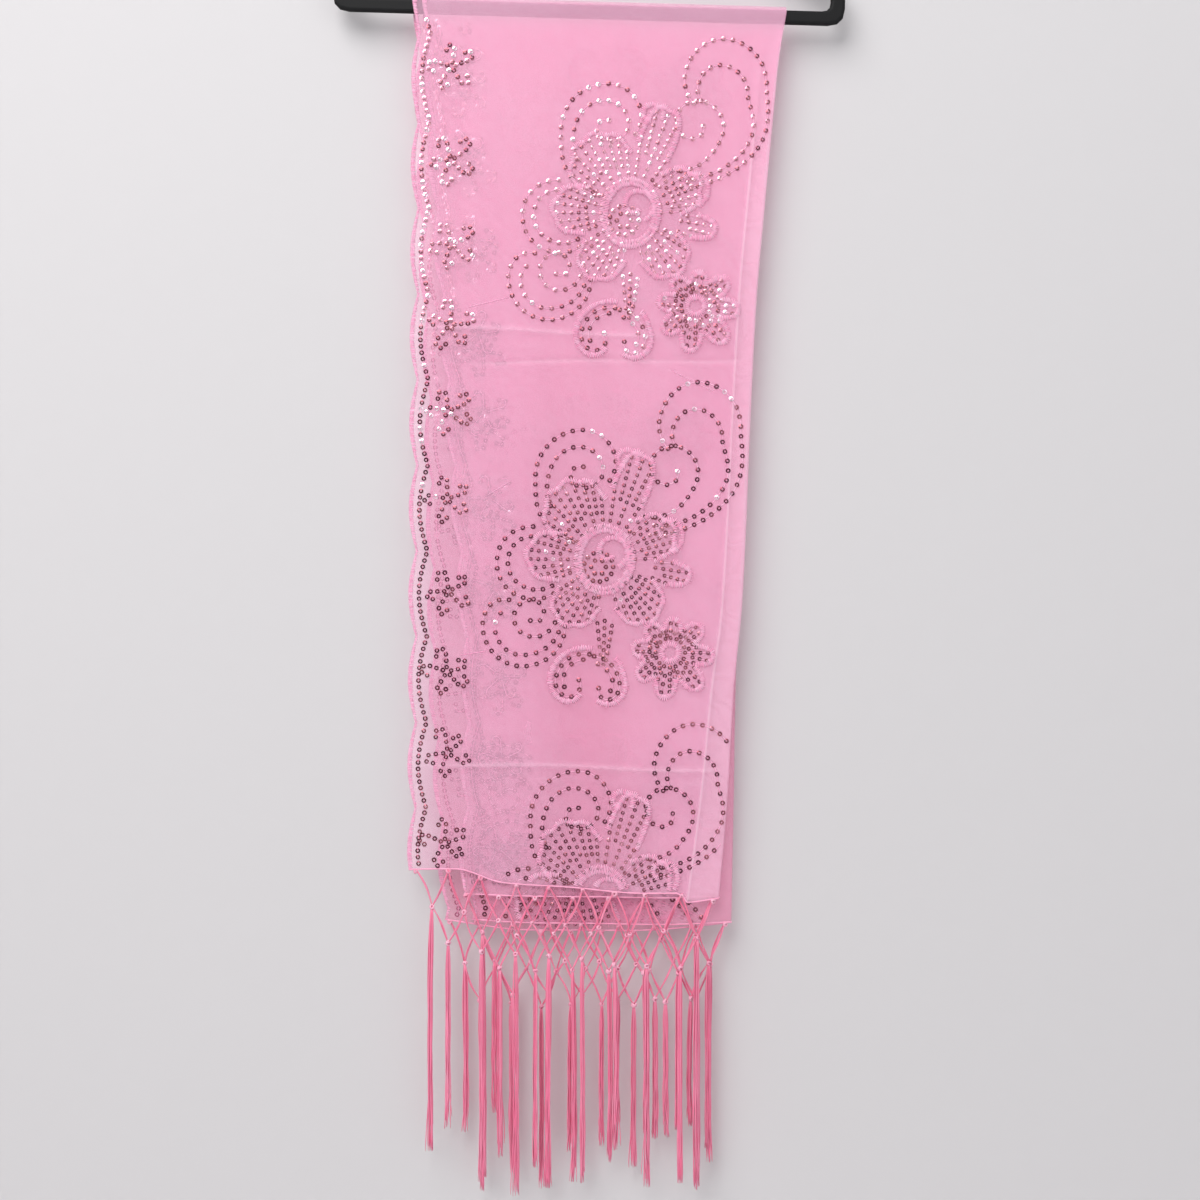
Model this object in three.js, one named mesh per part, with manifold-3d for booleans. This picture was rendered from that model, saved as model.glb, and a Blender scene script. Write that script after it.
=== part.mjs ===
// A sheer embroidered shawl, folded in half along its length and hung over the bar of a plain hanger.
// Millimetres, +Z up, front towards -Y. The origin is the inside of the hook's crown, where it hangs.
import * as THREE from "three";
import { mergeVertices } from "three/addons/utils/BufferGeometryUtils.js";
import Module from "manifold-3d";

const { lerp, clamp, degToRad, smoothstep } = THREE.MathUtils;

// The hanger: a flat ring, a round neck and a wire hook, hanging a little askew
const HANGER_WIDTH = 420;
const HANGER_THICKNESS = 6;
const HANGER_EDGE_ROUND = 2.6;
const HANGER_TILT = degToRad(1.7);
const BAR_TOP = -205;
const BAR_HEIGHT = 11.5;
const ARM_WIDTH = 12;
const SHOULDER_END = -180;
const SHOULDER_TOP = -88;
const NECK_RADIUS = 6.5;
const NECK_TOP = -72;
const NECK_BOTTOM = -94;
const STEM_BOTTOM = -86;
const WIRE_RADIUS = 2.2;
const HOOK_INSIDE_RADIUS = 18;
const SEAT_GAP = 0.3;
const RING_ROUNDS = { bar: 14, shoulder: 16, peak: 5 };
const WINDOW_ROUNDS = { bar: 7, shoulder: 8, peak: 6 };
const RING_FACETS = 3;
const NECK_SIDES = 20;
const BORE_SIDES = 16;
const STEM_HEIGHTS = [STEM_BOTTOM + SEAT_GAP, NECK_TOP, -60, -50];
const HOOK_ANGLES = [-28, 0, 30, 60, 90, 120, 150, 180, 215];
const WIRE_STEPS = 26;
const WIRE_FACETS = 4;

// The cloth: a thin wall whose outer and inner layers lie on each other, joined by the fold
const CLOTH_THICKNESS = 1;
const BAR_CLEARANCE = 0.35;
const OUTER_DEPTH_AT_HEM = 5.6;
const INNER_DEPTH_AT_HEM = 2.4;
const FOLD_RADIUS_AT_BAR = 0.85;
const LAYERS_SETTLE_BY = 320;
const HEM_UNEVEN_FROM = 640;
const LEVEL_BY = 150;
const FRONT_LENGTH = 728;
const BACK_LENGTH = 758;
const CROWN_STEPS = 8;

// The scalloped long edges, and the soft ripple that all the layers share
const SCALLOP_PITCH = 70;
const SCALLOP_DEPTH = 6;
const SCALLOP_START = 28;
const SCALLOP_STATIONS = [0, 0.28, 0.72];
const SCALLOPS_EACH_WAY = 12;
const MEAN_OF_ARCHES = 0.64;
const RIPPLE_HEIGHT = 2.6;
const RIPPLE_LENGTH = 140;
const RIPPLE_START = -34;
const RIPPLE_GROWTH = { most: 1.1, power: 1.3 };
const SLOW_RIPPLE = { height: 0.4, length: 2.3 * RIPPLE_LENGTH, drift: 240 };
const CREASE_HEIGHT = 0.9;
const CREASE_WIDTH = 4;

// X of each edge at each fall below the bar's top, with the fold at the right
const FRONT_EDGES = [
  { fall: 0, outer: -148.7, inner: -141, fold: 156 },
  { fall: 45, outer: -148.9, inner: -140, fold: 149 },
  { fall: 80, outer: -149.2, inner: -138.5, fold: 145.6 },
  { fall: 160, outer: -149.7, inner: -134, fold: 138.3 },
  { fall: 240, outer: -150.1, inner: -129, fold: 131.3 },
  { fall: 320, outer: -150.6, inner: -124, fold: 127 },
  { fall: 490, outer: -151.6, inner: -112, fold: 119.4 },
  { fall: 560, outer: -152, inner: -108.6, fold: 112.5 },
  { fall: 650, outer: -152.5, inner: -109.5, fold: 107.1 },
  { fall: 735, outer: -152.8, inner: -112, fold: 99.7 },
];
const BACK_EDGES = [
  { fall: 0, outer: -148.7, inner: -141, fold: 156 },
  { fall: 45, outer: -148.4, inner: -138.5, fold: 148.4 },
  { fall: 160, outer: -146, inner: -132, fold: 136.8 },
  { fall: 320, outer: -140.5, inner: -120, fold: 125.6 },
  { fall: 490, outer: -137.6, inner: -110, fold: 117.4 },
  { fall: 560, outer: -136.4, inner: -107, fold: 114.5 },
  { fall: 650, outer: -132, inner: -105.5, fold: 113 },
  { fall: 760, outer: -125.8, inner: -103.6, fold: 110.8 },
];

// The fall of each hem, from the scalloped edge (0) across to the fold (1)
const FRONT_HEMS = [
  { across: 0, outer: 709, inner: 729 },
  { across: 0.15, outer: 708.5, inner: 730 },
  { across: 0.3, outer: 719, inner: 731 },
  { across: 0.5, outer: 723, inner: 732 },
  { across: 0.74, outer: 728, inner: 732 },
  { across: 0.88, outer: 727.5, inner: 731.5 },
  { across: 0.905, outer: 734.7, inner: 731 },
  { across: 1, outer: 732, inner: 731 },
];
const BACK_HEMS = [
  { across: 0, outer: 752, inner: 751 },
  { across: 0.3, outer: 760, inner: 754 },
  { across: 0.6, outer: 761, inner: 755 },
  { across: 1, outer: 754, inner: 753 },
];

// The long crease that an earlier folding left in the front, as its place across
const CREASE_LINE = [
  { fall: 0, across: 0.955 },
  { fall: 240, across: 0.953 },
  { fall: 490, across: 0.945 },
  { fall: 600, across: 0.93 },
  { fall: 735, across: 0.904 },
];

// Columns of the wall: outer ones as shares of the stretches before and after the crease
const BEFORE_CREASE = [0, 0.05, 0.17, 0.3, 0.43, 0.56, 0.69, 0.82, 0.965];
const AFTER_CREASE = [0, 1];
const FOLD_TURNS = [60, 120];
const INNER_COLUMNS = [1, 0.82, 0.64, 0.46, 0.28, 0.06, 0];

// The knotted fringe: a narrow strip under each hem, two rows of knots, then the tassels
const STRIP_HEIGHT = 2.5;
const STRIP_GAP = 0.3;
const ROOT_DEPTH = 1.3;
const NET_MARGIN = 5;
const NET_DROPS = [30, 28];
const NET_UNEVEN = 4;
const STRAND_RADIUS = 1;
const KNOT_RADIUS = 2;
const KNOT_FLATNESS = 0.6;
const LOCK_SIDES = 3;
const TASSEL_SHAPE = [
  { share: 0, width: 1.1, depth: 0.9, sway: 0 },
  { share: 0.12, width: 1.7, depth: 1.1, sway: 0.1 },
  { share: 0.6, width: 1.6, depth: 1, sway: 1 },
  { share: 1, width: 0.5, depth: 0.4, sway: 0.6 },
];
const TASSEL_SWAY = 1.6;
const SEED_STEPS = { firstRow: 20, secondRow: 40, tips: 60, sway: 80 };
const FRINGE_LAYERS = [
  { half: "front", turn: 0, knots: 10, tip: 947, spread: 30, seed: 3 },
  { half: "front", turn: Math.PI, knots: 8, tip: 940, spread: 26, seed: 11 },
  { half: "back", turn: Math.PI, knots: 8, tip: 936, spread: 28, seed: 21 },
  { half: "back", turn: 0, knots: 10, tip: 950, spread: 24, seed: 34 },
];

const wasm = await Module();
wasm.setup();

function material(color, roughness, metalness = 0) {
  return new THREE.MeshStandardMaterial({ color, roughness, metalness, side: THREE.DoubleSide });
}

function namedMesh(name, geometry, finish) {
  const mesh = new THREE.Mesh(geometry, finish);
  mesh.name = name;
  return mesh;
}

function toSolid(geometry) {
  const bare = geometry.clone();
  bare.deleteAttribute("normal");
  bare.deleteAttribute("uv");
  const merged = mergeVertices(bare, 1e-4);
  const vertProperties = merged.attributes.position.array;
  const triVerts = new Uint32Array(merged.index.array);
  return new wasm.Manifold(new wasm.Mesh({ numProp: 3, vertProperties, triVerts }));
}

function toGeometry(solid) {
  const { vertProperties, triVerts } = solid.getMesh();
  const geometry = new THREE.BufferGeometry();
  geometry.setAttribute("position", new THREE.BufferAttribute(vertProperties, 3));
  geometry.setIndex(new THREE.BufferAttribute(triVerts, 1));
  geometry.computeVertexNormals();
  return geometry;
}

// A smooth curve through one column of a table, which never swings past its rows
function curveOf(table, by, key) {
  const at = table.map((row) => row[by]);
  const value = table.map((row) => row[key]);
  const rise = value.slice(1).map((v, i) => (v - value[i]) / (at[i + 1] - at[i]));
  const slope = value.map((_, i) => {
    const before = rise[Math.max(i - 1, 0)];
    const after = rise[Math.min(i, rise.length - 1)];
    return before * after > 0 ? (2 * before * after) / (before + after) : 0;
  });
  return (where) => {
    const x = clamp(where, at[0], at[at.length - 1]);
    const i = Math.min(at.findLastIndex((a) => a <= x), at.length - 2);
    const span = at[i + 1] - at[i];
    const t = (x - at[i]) / span;
    const ease = t * t * (3 - 2 * t);
    const lead = t * (1 - t) * (1 - t) * slope[i] - t * t * (1 - t) * slope[i + 1];
    return lerp(value[i], value[i + 1], ease) + span * lead;
  };
}

// A number from 0 to 1 that looks random but is the same each time
function uneven(step, seed) {
  const wave = Math.sin(12.9898 * step + 78.233 * seed) * 43758.5453;
  return wave - Math.floor(wave);
}

// A closed solid through rings with equal counts of points; each end is closed by a strip across it
function loft(rings) {
  const count = rings[0].length;
  const index = [];
  const corner = (ring, k) => ring * count + ((k + count) % count);
  for (let ring = 0; ring < rings.length - 1; ring += 1) {
    for (let k = 0; k < count; k += 1) {
      index.push(corner(ring, k), corner(ring, k + 1), corner(ring + 1, k + 1));
      index.push(corner(ring, k), corner(ring + 1, k + 1), corner(ring + 1, k));
    }
  }
  const last = rings.length - 1;
  for (let k = 0; k < Math.floor(count / 2); k += 1) {
    const across = count - 1 - k;
    index.push(corner(0, k), corner(0, across), corner(0, k + 1));
    index.push(corner(last, k), corner(last, k + 1), corner(last, across));
    if (across - 1 > k + 1) {
      index.push(corner(0, k + 1), corner(0, across), corner(0, across - 1));
      index.push(corner(last, k + 1), corner(last, across - 1), corner(last, across));
    }
  }
  const points = rings.flat();
  const volume = index.reduce((sum, _, i) => {
    if (i % 3) return sum;
    const [a, b, c] = [points[index[i]], points[index[i + 1]], points[index[i + 2]]];
    return sum + a.dot(b.clone().cross(c));
  }, 0);
  const facingOut = volume > 0 ? index : index.reverse();
  const geometry = new THREE.BufferGeometry().setFromPoints(points).setIndex(facingOut);
  geometry.computeVertexNormals();
  return geometry;
}

// A wall of even thickness on a grid of points, given as rows of the wall's middle
function wall(rows, thickness) {
  const sides = rows.map((row, j) =>
    row.map((point, i) => {
      const acrossWay = row[Math.min(i + 1, row.length - 1)].clone().sub(row[Math.max(i - 1, 0)]);
      const next = rows[Math.min(j + 1, rows.length - 1)][i];
      const alongWay = next.clone().sub(rows[Math.max(j - 1, 0)][i]);
      const normal = acrossWay.cross(alongWay).normalize().multiplyScalar(thickness / 2);
      return { over: point.clone().add(normal), under: point.clone().sub(normal) };
    }),
  );
  return loft(sides.map((row) => [...row.map((p) => p.over), ...row.map((p) => p.under).reverse()]));
}

// The height of the tilted bar's top; further down the cloth, the tilt fades out
function barTop(x, fall = 0) {
  const tilted = BAR_TOP / Math.cos(HANGER_TILT) - x * Math.tan(HANGER_TILT);
  return lerp(tilted, BAR_TOP, clamp(fall / LEVEL_BY, 0, 1));
}

function halfOf(edges, hems, over, length, crease) {
  return {
    over,
    length,
    crease,
    side: over === 0 ? 1 : -1,
    edge: { outer: curveOf(edges, "fall", "outer"), inner: curveOf(edges, "fall", "inner") },
    fold: curveOf(edges, "fall", "fold"),
    hem: { outer: curveOf(hems, "across", "outer"), inner: curveOf(hems, "across", "inner") },
    creaseAt: curveOf(CREASE_LINE, "fall", "across"),
  };
}

const HALVES = {
  front: halfOf(FRONT_EDGES, FRONT_HEMS, 0, FRONT_LENGTH, CREASE_HEIGHT),
  back: halfOf(BACK_EDGES, BACK_HEMS, Math.PI, BACK_LENGTH, 0),
};

function ripple(x, fall) {
  const share = clamp((fall - BAR_HEIGHT) / (FRONT_LENGTH - BAR_HEIGHT), 0, RIPPLE_GROWTH.most);
  const long = Math.sin((2 * Math.PI * (x - RIPPLE_START)) / RIPPLE_LENGTH);
  const slow = Math.sin((2 * Math.PI * x) / SLOW_RIPPLE.length + fall / SLOW_RIPPLE.drift);
  return RIPPLE_HEIGHT * share ** RIPPLE_GROWTH.power * (long + SLOW_RIPPLE.height * slow);
}

function hemFall(half, turn, across) {
  return lerp(half.hem.outer(across), half.hem.inner(across), turn / Math.PI);
}

// How far the two layers lie from the bar's middle plane at a fall
function layerDepths(fall) {
  const ease = smoothstep(fall, BAR_HEIGHT, LAYERS_SETTLE_BY);
  const innerAtBar = HANGER_THICKNESS / 2 + BAR_CLEARANCE + CLOTH_THICKNESS / 2;
  const outerAtBar = innerAtBar + 2 * FOLD_RADIUS_AT_BAR;
  return {
    outer: lerp(outerAtBar, OUTER_DEPTH_AT_HEM, ease),
    inner: lerp(innerAtBar, INNER_DEPTH_AT_HEM, ease),
  };
}

// A point of the cloth's middle: turn is 0 on the outer layer and PI on the inner one, across is 0 at
// the scalloped edge and 1 at the fold, and over is 0 on the front and PI on the back of the bar
function clothPoint(half, turn, across, fall, over = half.over) {
  const { outer, inner } = layerDepths(fall);
  const foldRadius = (outer - inner) / 2;
  const foldStart = half.fold(fall) - foldRadius;
  const edge = turn < Math.PI / 2 ? half.edge.outer(fall) : half.edge.inner(fall);
  const arch = Math.abs(Math.sin((Math.PI * (half.side * fall - SCALLOP_START)) / SCALLOP_PITCH));
  const scallop = across === 0 ? SCALLOP_DEPTH * (MEAN_OF_ARCHES - arch) : 0;
  const x = lerp(edge + scallop, foldStart, across) + foldRadius * Math.sin(turn);
  const fromCrease = ((across - half.creaseAt(fall)) * (foldStart - edge)) / CREASE_WIDTH;
  const ridge = turn === 0 ? half.crease * Math.exp(-fromCrease * fromCrease) : 0;
  const ridgeHere = ridge * smoothstep(fall, BAR_HEIGHT, SCALLOP_PITCH);
  const depth = (outer + inner) / 2 + foldRadius * Math.cos(turn) + ridgeHere;
  const y = -Math.cos(over) * depth + ripple(x, fall);
  return new THREE.Vector3(x, y, barTop(x, fall) - fall + Math.sin(over) * depth);
}

// The wall's columns at a fall, from the outer scalloped edge round the fold to the inner one
function columnsAt(half, fall) {
  const crease = half.creaseAt(fall);
  return [
    ...BEFORE_CREASE.map((share) => ({ turn: 0, across: share * crease })),
    ...AFTER_CREASE.map((share) => ({ turn: 0, across: lerp(crease, 1, share) })),
    ...FOLD_TURNS.map((degrees) => ({ turn: degToRad(degrees), across: 1 })),
    ...INNER_COLUMNS.map((across) => ({ turn: Math.PI, across })),
  ];
}

// One row of points across a half; towards the end the row bends to the uneven hem
function clothRow(half, fall) {
  const share = clamp((fall - HEM_UNEVEN_FROM) / (half.length - HEM_UNEVEN_FROM), 0, 1);
  return columnsAt(half, fall).map(({ turn, across }) => {
    const bent = fall + share * (hemFall(half, turn, across) - half.length);
    return clothPoint(half, turn, across, bent);
  });
}

// Falls from the bar to the hem, with stations at each scallop's cusp and its shoulders
function stationsOf(half) {
  const falls = [];
  for (let k = -SCALLOPS_EACH_WAY; k <= SCALLOPS_EACH_WAY; k += 1) {
    for (const share of SCALLOP_STATIONS) {
      const fall = half.side * (SCALLOP_START + SCALLOP_PITCH * (k + share));
      if (fall > BAR_HEIGHT && fall < half.length - 1) falls.push(fall);
    }
  }
  return [...falls.sort((a, b) => a - b), half.length];
}

function makeCloth() {
  const axis = HANGER_THICKNESS / 2;
  const front = stationsOf(HALVES.front).map((fall) => clothRow(HALVES.front, fall));
  const back = stationsOf(HALVES.back).map((fall) => clothRow(HALVES.back, fall));
  const crown = [];
  for (let step = 0; step <= CROWN_STEPS; step += 1) {
    const over = (Math.PI * step) / CROWN_STEPS;
    const half = over < Math.PI / 2 ? HALVES.front : HALVES.back;
    const columns = columnsAt(half, axis);
    crown.push(columns.map(({ turn, across }) => clothPoint(half, turn, across, axis, over)));
  }
  return wall([...front.reverse(), ...crown, ...back], CLOTH_THICKNESS);
}

// A thin lock of threads through a path, with level rings of their own half widths
function lock(path) {
  const rings = path.map(({ point, width, depth }) =>
    Array.from({ length: LOCK_SIDES }, (_, k) => {
      const angle = (2 * Math.PI * k) / LOCK_SIDES + Math.PI / 2;
      return new THREE.Vector3(width * Math.cos(angle), depth * Math.sin(angle), 0).add(point);
    }),
  );
  return loft(rings);
}

function netStrand(points) {
  return lock(points.map((point) => ({ point, width: STRAND_RADIUS, depth: STRAND_RADIUS })));
}

function knotAt(point) {
  const knot = new THREE.OctahedronGeometry(KNOT_RADIUS);
  knot.scale(1, KNOT_FLATNESS, 1);
  knot.translate(point.x, point.y, point.z);
  return knot;
}

function tasselFrom(knot, tip, swing) {
  return lock(
    TASSEL_SHAPE.map(({ share, width, depth, sway }) => ({
      point: new THREE.Vector3(
        knot.x + swing * sway,
        knot.y,
        lerp(knot.z, BAR_TOP - tip, share),
      ),
      width,
      depth,
    })),
  );
}

// The point on a layer's hem at an X, read along the wall's own facets
function hemPoint(half, turn, x) {
  const columns = columnsAt(half, half.length);
  const hem = clothRow(half, half.length).filter((_, i) => columns[i].turn === turn);
  if (turn > 0) hem.reverse();
  const next = clamp(hem.findIndex((point) => point.x > x), 1, hem.length - 1);
  const [before, after] = [hem[next - 1], hem[next]];
  return before.clone().lerp(after, (x - before.x) / (after.x - before.x));
}

// Hem roots and the two rows of knots under one layer; each row lies between the points above it
function knotRows({ half: name, turn, knots, seed }) {
  const half = HALVES[name];
  const left = (turn === 0 ? half.edge.outer : half.edge.inner)(half.length) + NET_MARGIN;
  const right = half.fold(half.length) - NET_MARGIN;
  const roots = Array.from({ length: knots }, (_, k) => {
    const jitter = k > 0 && k < knots - 1 ? NET_UNEVEN * (uneven(k, seed) - 0.5) : 0;
    const root = hemPoint(half, turn, lerp(left, right, k / (knots - 1)) + jitter);
    root.z -= STRIP_GAP + ROOT_DEPTH;
    return root;
  });
  const below = (row, drop, offset) =>
    row.slice(1).map((point, k) => {
      const knot = point.clone().add(row[k]).multiplyScalar(0.5);
      knot.z -= drop + NET_UNEVEN * (uneven(k + offset, seed) - 0.5);
      return knot;
    });
  const first = below(roots, NET_DROPS[0], SEED_STEPS.firstRow);
  return { roots, first, second: below(first, NET_DROPS[1], SEED_STEPS.secondRow) };
}

// Each root sends one strand to the right and one to the left, down through both rows of knots
function netStrands({ roots, first, second }) {
  const strands = [];
  roots.forEach((root, k) => {
    strands.push([root, first[k], second[k]]);
    strands.push([root, first[k - 1], second[k - 2]]);
  });
  return strands
    .map((points) => points.filter(Boolean))
    .filter((points) => points.length > 1)
    .map(netStrand);
}

function tassels({ tip, spread, seed }, { first, second }) {
  const knots = [first[0], ...second, first[first.length - 1]];
  return knots.map((knot, k) => {
    const reach = tip + 2 * spread * (uneven(k + SEED_STEPS.tips, seed) - 0.5);
    const swing = TASSEL_SWAY * 2 * (uneven(k + SEED_STEPS.sway, seed) - 0.5);
    return tasselFrom(knot, reach, swing);
  });
}

// The strip that carries a fringe, parted from the hem by a fine gap and following it round the fold
function hemStrip(half) {
  const hem = clothRow(half, half.length);
  const lowered = (drop) => hem.map((point) => point.clone().setZ(point.z - drop));
  return wall([lowered(STRIP_GAP), lowered(STRIP_GAP + STRIP_HEIGHT)], CLOTH_THICKNESS);
}

function makeFringe(name) {
  const pieces = [hemStrip(HALVES[name])];
  for (const layer of FRINGE_LAYERS.filter(({ half }) => half === name)) {
    const rows = knotRows(layer);
    pieces.push(...netStrands(rows));
    pieces.push(...[...rows.first, ...rows.second].map(knotAt));
    pieces.push(...tassels(layer, rows));
  }
  return toGeometry(wasm.Manifold.union(pieces.map(toSolid)));
}

// A closed outline with a rounded bend at each corner
function roundedPath(path, corners) {
  const count = corners.length;
  corners.forEach((corner, k) => {
    const here = new THREE.Vector2(corner.x, corner.z);
    const towards = (other) => {
      const way = new THREE.Vector2(other.x, other.z).sub(here);
      return here.clone().addScaledVector(way.normalize(), corner.round);
    };
    const start = towards(corners[(k + count - 1) % count]);
    const end = towards(corners[(k + 1) % count]);
    if (k === 0) path.moveTo(start.x, start.y);
    else path.lineTo(start.x, start.y);
    path.quadraticCurveTo(here.x, here.y, end.x, end.y);
  });
  path.closePath();
  return path;
}

function mirrored(corners) {
  const left = corners.map(({ x, z, round }) => ({ x: -x, z, round }));
  return [...corners, ...left.reverse()];
}

// The flat ring: bottom bar, two short legs and two sloping shoulders round one window
function hangerRing() {
  const end = HANGER_WIDTH / 2;
  const inside = end - ARM_WIDTH;
  const slope = (SHOULDER_TOP - SHOULDER_END) / (end - NECK_RADIUS);
  const armDrop = ARM_WIDTH * Math.hypot(1, slope);
  const outline = roundedPath(new THREE.Shape(), mirrored([
    { x: end, z: BAR_TOP - BAR_HEIGHT, round: RING_ROUNDS.bar },
    { x: end, z: SHOULDER_END, round: RING_ROUNDS.shoulder },
    { x: NECK_RADIUS, z: SHOULDER_TOP, round: RING_ROUNDS.peak },
  ]));
  const window = roundedPath(new THREE.Path(), mirrored([
    { x: inside, z: BAR_TOP, round: WINDOW_ROUNDS.bar },
    { x: inside, z: SHOULDER_END + slope * ARM_WIDTH - armDrop, round: WINDOW_ROUNDS.shoulder },
    { x: NECK_RADIUS, z: SHOULDER_TOP - armDrop, round: WINDOW_ROUNDS.peak },
  ]));
  outline.holes.push(window);
  const ring = new THREE.ExtrudeGeometry(outline, {
    depth: HANGER_THICKNESS - 2 * HANGER_EDGE_ROUND,
    bevelThickness: HANGER_EDGE_ROUND,
    bevelSize: HANGER_EDGE_ROUND,
    bevelOffset: -HANGER_EDGE_ROUND,
    bevelSegments: RING_FACETS,
    curveSegments: RING_FACETS,
  });
  ring.translate(0, 0, HANGER_EDGE_ROUND - HANGER_THICKNESS / 2);
  return ring.rotateX(Math.PI / 2);
}

function uprightCylinder(radius, bottom, top, sides) {
  const cylinder = new THREE.CylinderGeometry(radius, radius, top - bottom, sides);
  return cylinder.rotateX(Math.PI / 2).translate(0, 0, (top + bottom) / 2);
}

function makeHangerFrame() {
  const neck = toSolid(uprightCylinder(NECK_RADIUS, NECK_BOTTOM, NECK_TOP, NECK_SIDES));
  const boreRadius = WIRE_RADIUS + SEAT_GAP;
  const bore = toSolid(uprightCylinder(boreRadius, STEM_BOTTOM, NECK_TOP + 1, BORE_SIDES));
  return toGeometry(toSolid(hangerRing()).add(neck).subtract(bore));
}

// The hook's wire: straight up out of the neck, out to the right, and over the crown to its tip
function makeHook() {
  const radius = HOOK_INSIDE_RADIUS + WIRE_RADIUS;
  const centre = -HOOK_INSIDE_RADIUS;
  const onCircle = (degrees) => {
    const angle = degToRad(degrees);
    return new THREE.Vector3(radius * Math.cos(angle), 0, centre + radius * Math.sin(angle));
  };
  const stem = STEM_HEIGHTS.map((z) => new THREE.Vector3(0, 0, z));
  const wayUp = [...stem, ...HOOK_ANGLES.map(onCircle)];
  const path = new THREE.CatmullRomCurve3(wayUp, false, "centripetal");
  const section = new THREE.Shape().absarc(0, 0, WIRE_RADIUS, 0, 2 * Math.PI, false);
  return new THREE.ExtrudeGeometry(section, {
    steps: WIRE_STEPS,
    extrudePath: path,
    bevelEnabled: false,
    curveSegments: WIRE_FACETS,
  });
}

const hanger = new THREE.Group();
hanger.rotation.y = HANGER_TILT;
hanger.add(namedMesh("hanger_frame", makeHangerFrame(), material(0x101012, 0.55)));
hanger.add(namedMesh("hanger_hook", makeHook(), material(0x17171a, 0.4)));

const shawl = new THREE.Group();
shawl.add(namedMesh("shawl_cloth", makeCloth(), material(0xf0a6c9, 0.6)));
shawl.add(namedMesh("fringe_front", makeFringe("front"), material(0xd9628f, 0.5)));
shawl.add(namedMesh("fringe_back", makeFringe("back"), material(0xd9628f, 0.5)));

const part = new THREE.Group();
part.add(hanger, shawl);

export default part;
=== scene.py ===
# %% [markdown]
# # A sheer pink shawl over a hanger's bar
# The shawl is one panel of organza, thin enough to see through, folded in half along its length and
# hung over the bottom bar of a black hanger. We load the solid model first, keep it as a fixed frame,
# and then dress it: cloth, stitches, sequins and fringe all take their places from the same sizes.

# %% Load the fixed frame
import math

import bpy
import numpy as np
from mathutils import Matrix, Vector


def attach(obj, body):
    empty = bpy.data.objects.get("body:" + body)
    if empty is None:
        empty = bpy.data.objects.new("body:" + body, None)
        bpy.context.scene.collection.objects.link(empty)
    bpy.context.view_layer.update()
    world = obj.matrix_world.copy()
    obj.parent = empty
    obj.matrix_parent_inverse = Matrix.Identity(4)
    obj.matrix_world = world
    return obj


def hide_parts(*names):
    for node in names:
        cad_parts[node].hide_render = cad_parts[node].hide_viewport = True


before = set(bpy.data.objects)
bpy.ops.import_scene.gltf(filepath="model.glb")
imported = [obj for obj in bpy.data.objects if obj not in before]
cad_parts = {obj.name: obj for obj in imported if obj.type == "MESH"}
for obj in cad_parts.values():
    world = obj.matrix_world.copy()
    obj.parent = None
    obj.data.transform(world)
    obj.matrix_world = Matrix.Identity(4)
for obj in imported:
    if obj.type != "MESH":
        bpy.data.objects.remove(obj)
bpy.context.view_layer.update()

# %% [markdown]
# ## The sizes that everything follows
# A draped cloth is easiest to describe by tables: where its edges lie at each fall below the bar, and
# how low each hem hangs. The same tables shaped the solid model, so what we add here lies on it.

# %% Sizes in millimetres, and tables of the edges and hems
MM = 0.001
BAR_TOP = -205.0
BAR_HEIGHT = 11.5
BAR_HALF_THICKNESS = 3.0
TILT = math.radians(1.7)
LEVEL_BY = 150.0
OUTER_DEPTH = {"bar": 5.55, "hem": 5.6}
INNER_DEPTH = {"bar": 3.85, "hem": 2.4}
LAYERS_SETTLE_BY = 320.0
SCALLOP_PITCH = 70.0
SCALLOP_DEPTH = 6.0
SCALLOP_START = 28.0
SCALLOP_REACH = 14.0
SCALLOP_FADE = 1.5
MEAN_OF_ARCHES = 0.64
HEM_UNEVEN_FROM = 640.0
RIPPLE_HEIGHT = 2.6
RIPPLE_LENGTH = 140.0
FRONT_LENGTH = 728.0
BACK_LENGTH = 758.0

FRONT_EDGES = [
    {"fall": 0, "outer": -148.7, "inner": -141, "fold": 156},
    {"fall": 45, "outer": -148.9, "inner": -140, "fold": 149},
    {"fall": 80, "outer": -149.2, "inner": -138.5, "fold": 145.6},
    {"fall": 160, "outer": -149.7, "inner": -134, "fold": 138.3},
    {"fall": 240, "outer": -150.1, "inner": -129, "fold": 131.3},
    {"fall": 320, "outer": -150.6, "inner": -124, "fold": 127},
    {"fall": 490, "outer": -151.6, "inner": -112, "fold": 119.4},
    {"fall": 560, "outer": -152, "inner": -108.6, "fold": 112.5},
    {"fall": 650, "outer": -152.5, "inner": -109.5, "fold": 107.1},
    {"fall": 735, "outer": -152.8, "inner": -112, "fold": 99.7},
]
BACK_EDGES = [
    {"fall": 0, "outer": -148.7, "inner": -141, "fold": 156},
    {"fall": 45, "outer": -148.4, "inner": -138.5, "fold": 148.4},
    {"fall": 160, "outer": -146, "inner": -132, "fold": 136.8},
    {"fall": 320, "outer": -140.5, "inner": -120, "fold": 125.6},
    {"fall": 490, "outer": -137.6, "inner": -110, "fold": 117.4},
    {"fall": 560, "outer": -136.4, "inner": -107, "fold": 114.5},
    {"fall": 650, "outer": -132, "inner": -105.5, "fold": 113},
    {"fall": 760, "outer": -125.8, "inner": -103.6, "fold": 110.8},
]
FRONT_HEMS = [
    {"across": 0, "outer": 709, "inner": 729},
    {"across": 0.15, "outer": 708.5, "inner": 730},
    {"across": 0.3, "outer": 719, "inner": 731},
    {"across": 0.5, "outer": 723, "inner": 732},
    {"across": 0.74, "outer": 728, "inner": 732},
    {"across": 0.88, "outer": 727.5, "inner": 731.5},
    {"across": 0.905, "outer": 734.7, "inner": 731},
    {"across": 1, "outer": 732, "inner": 731},
]
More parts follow.
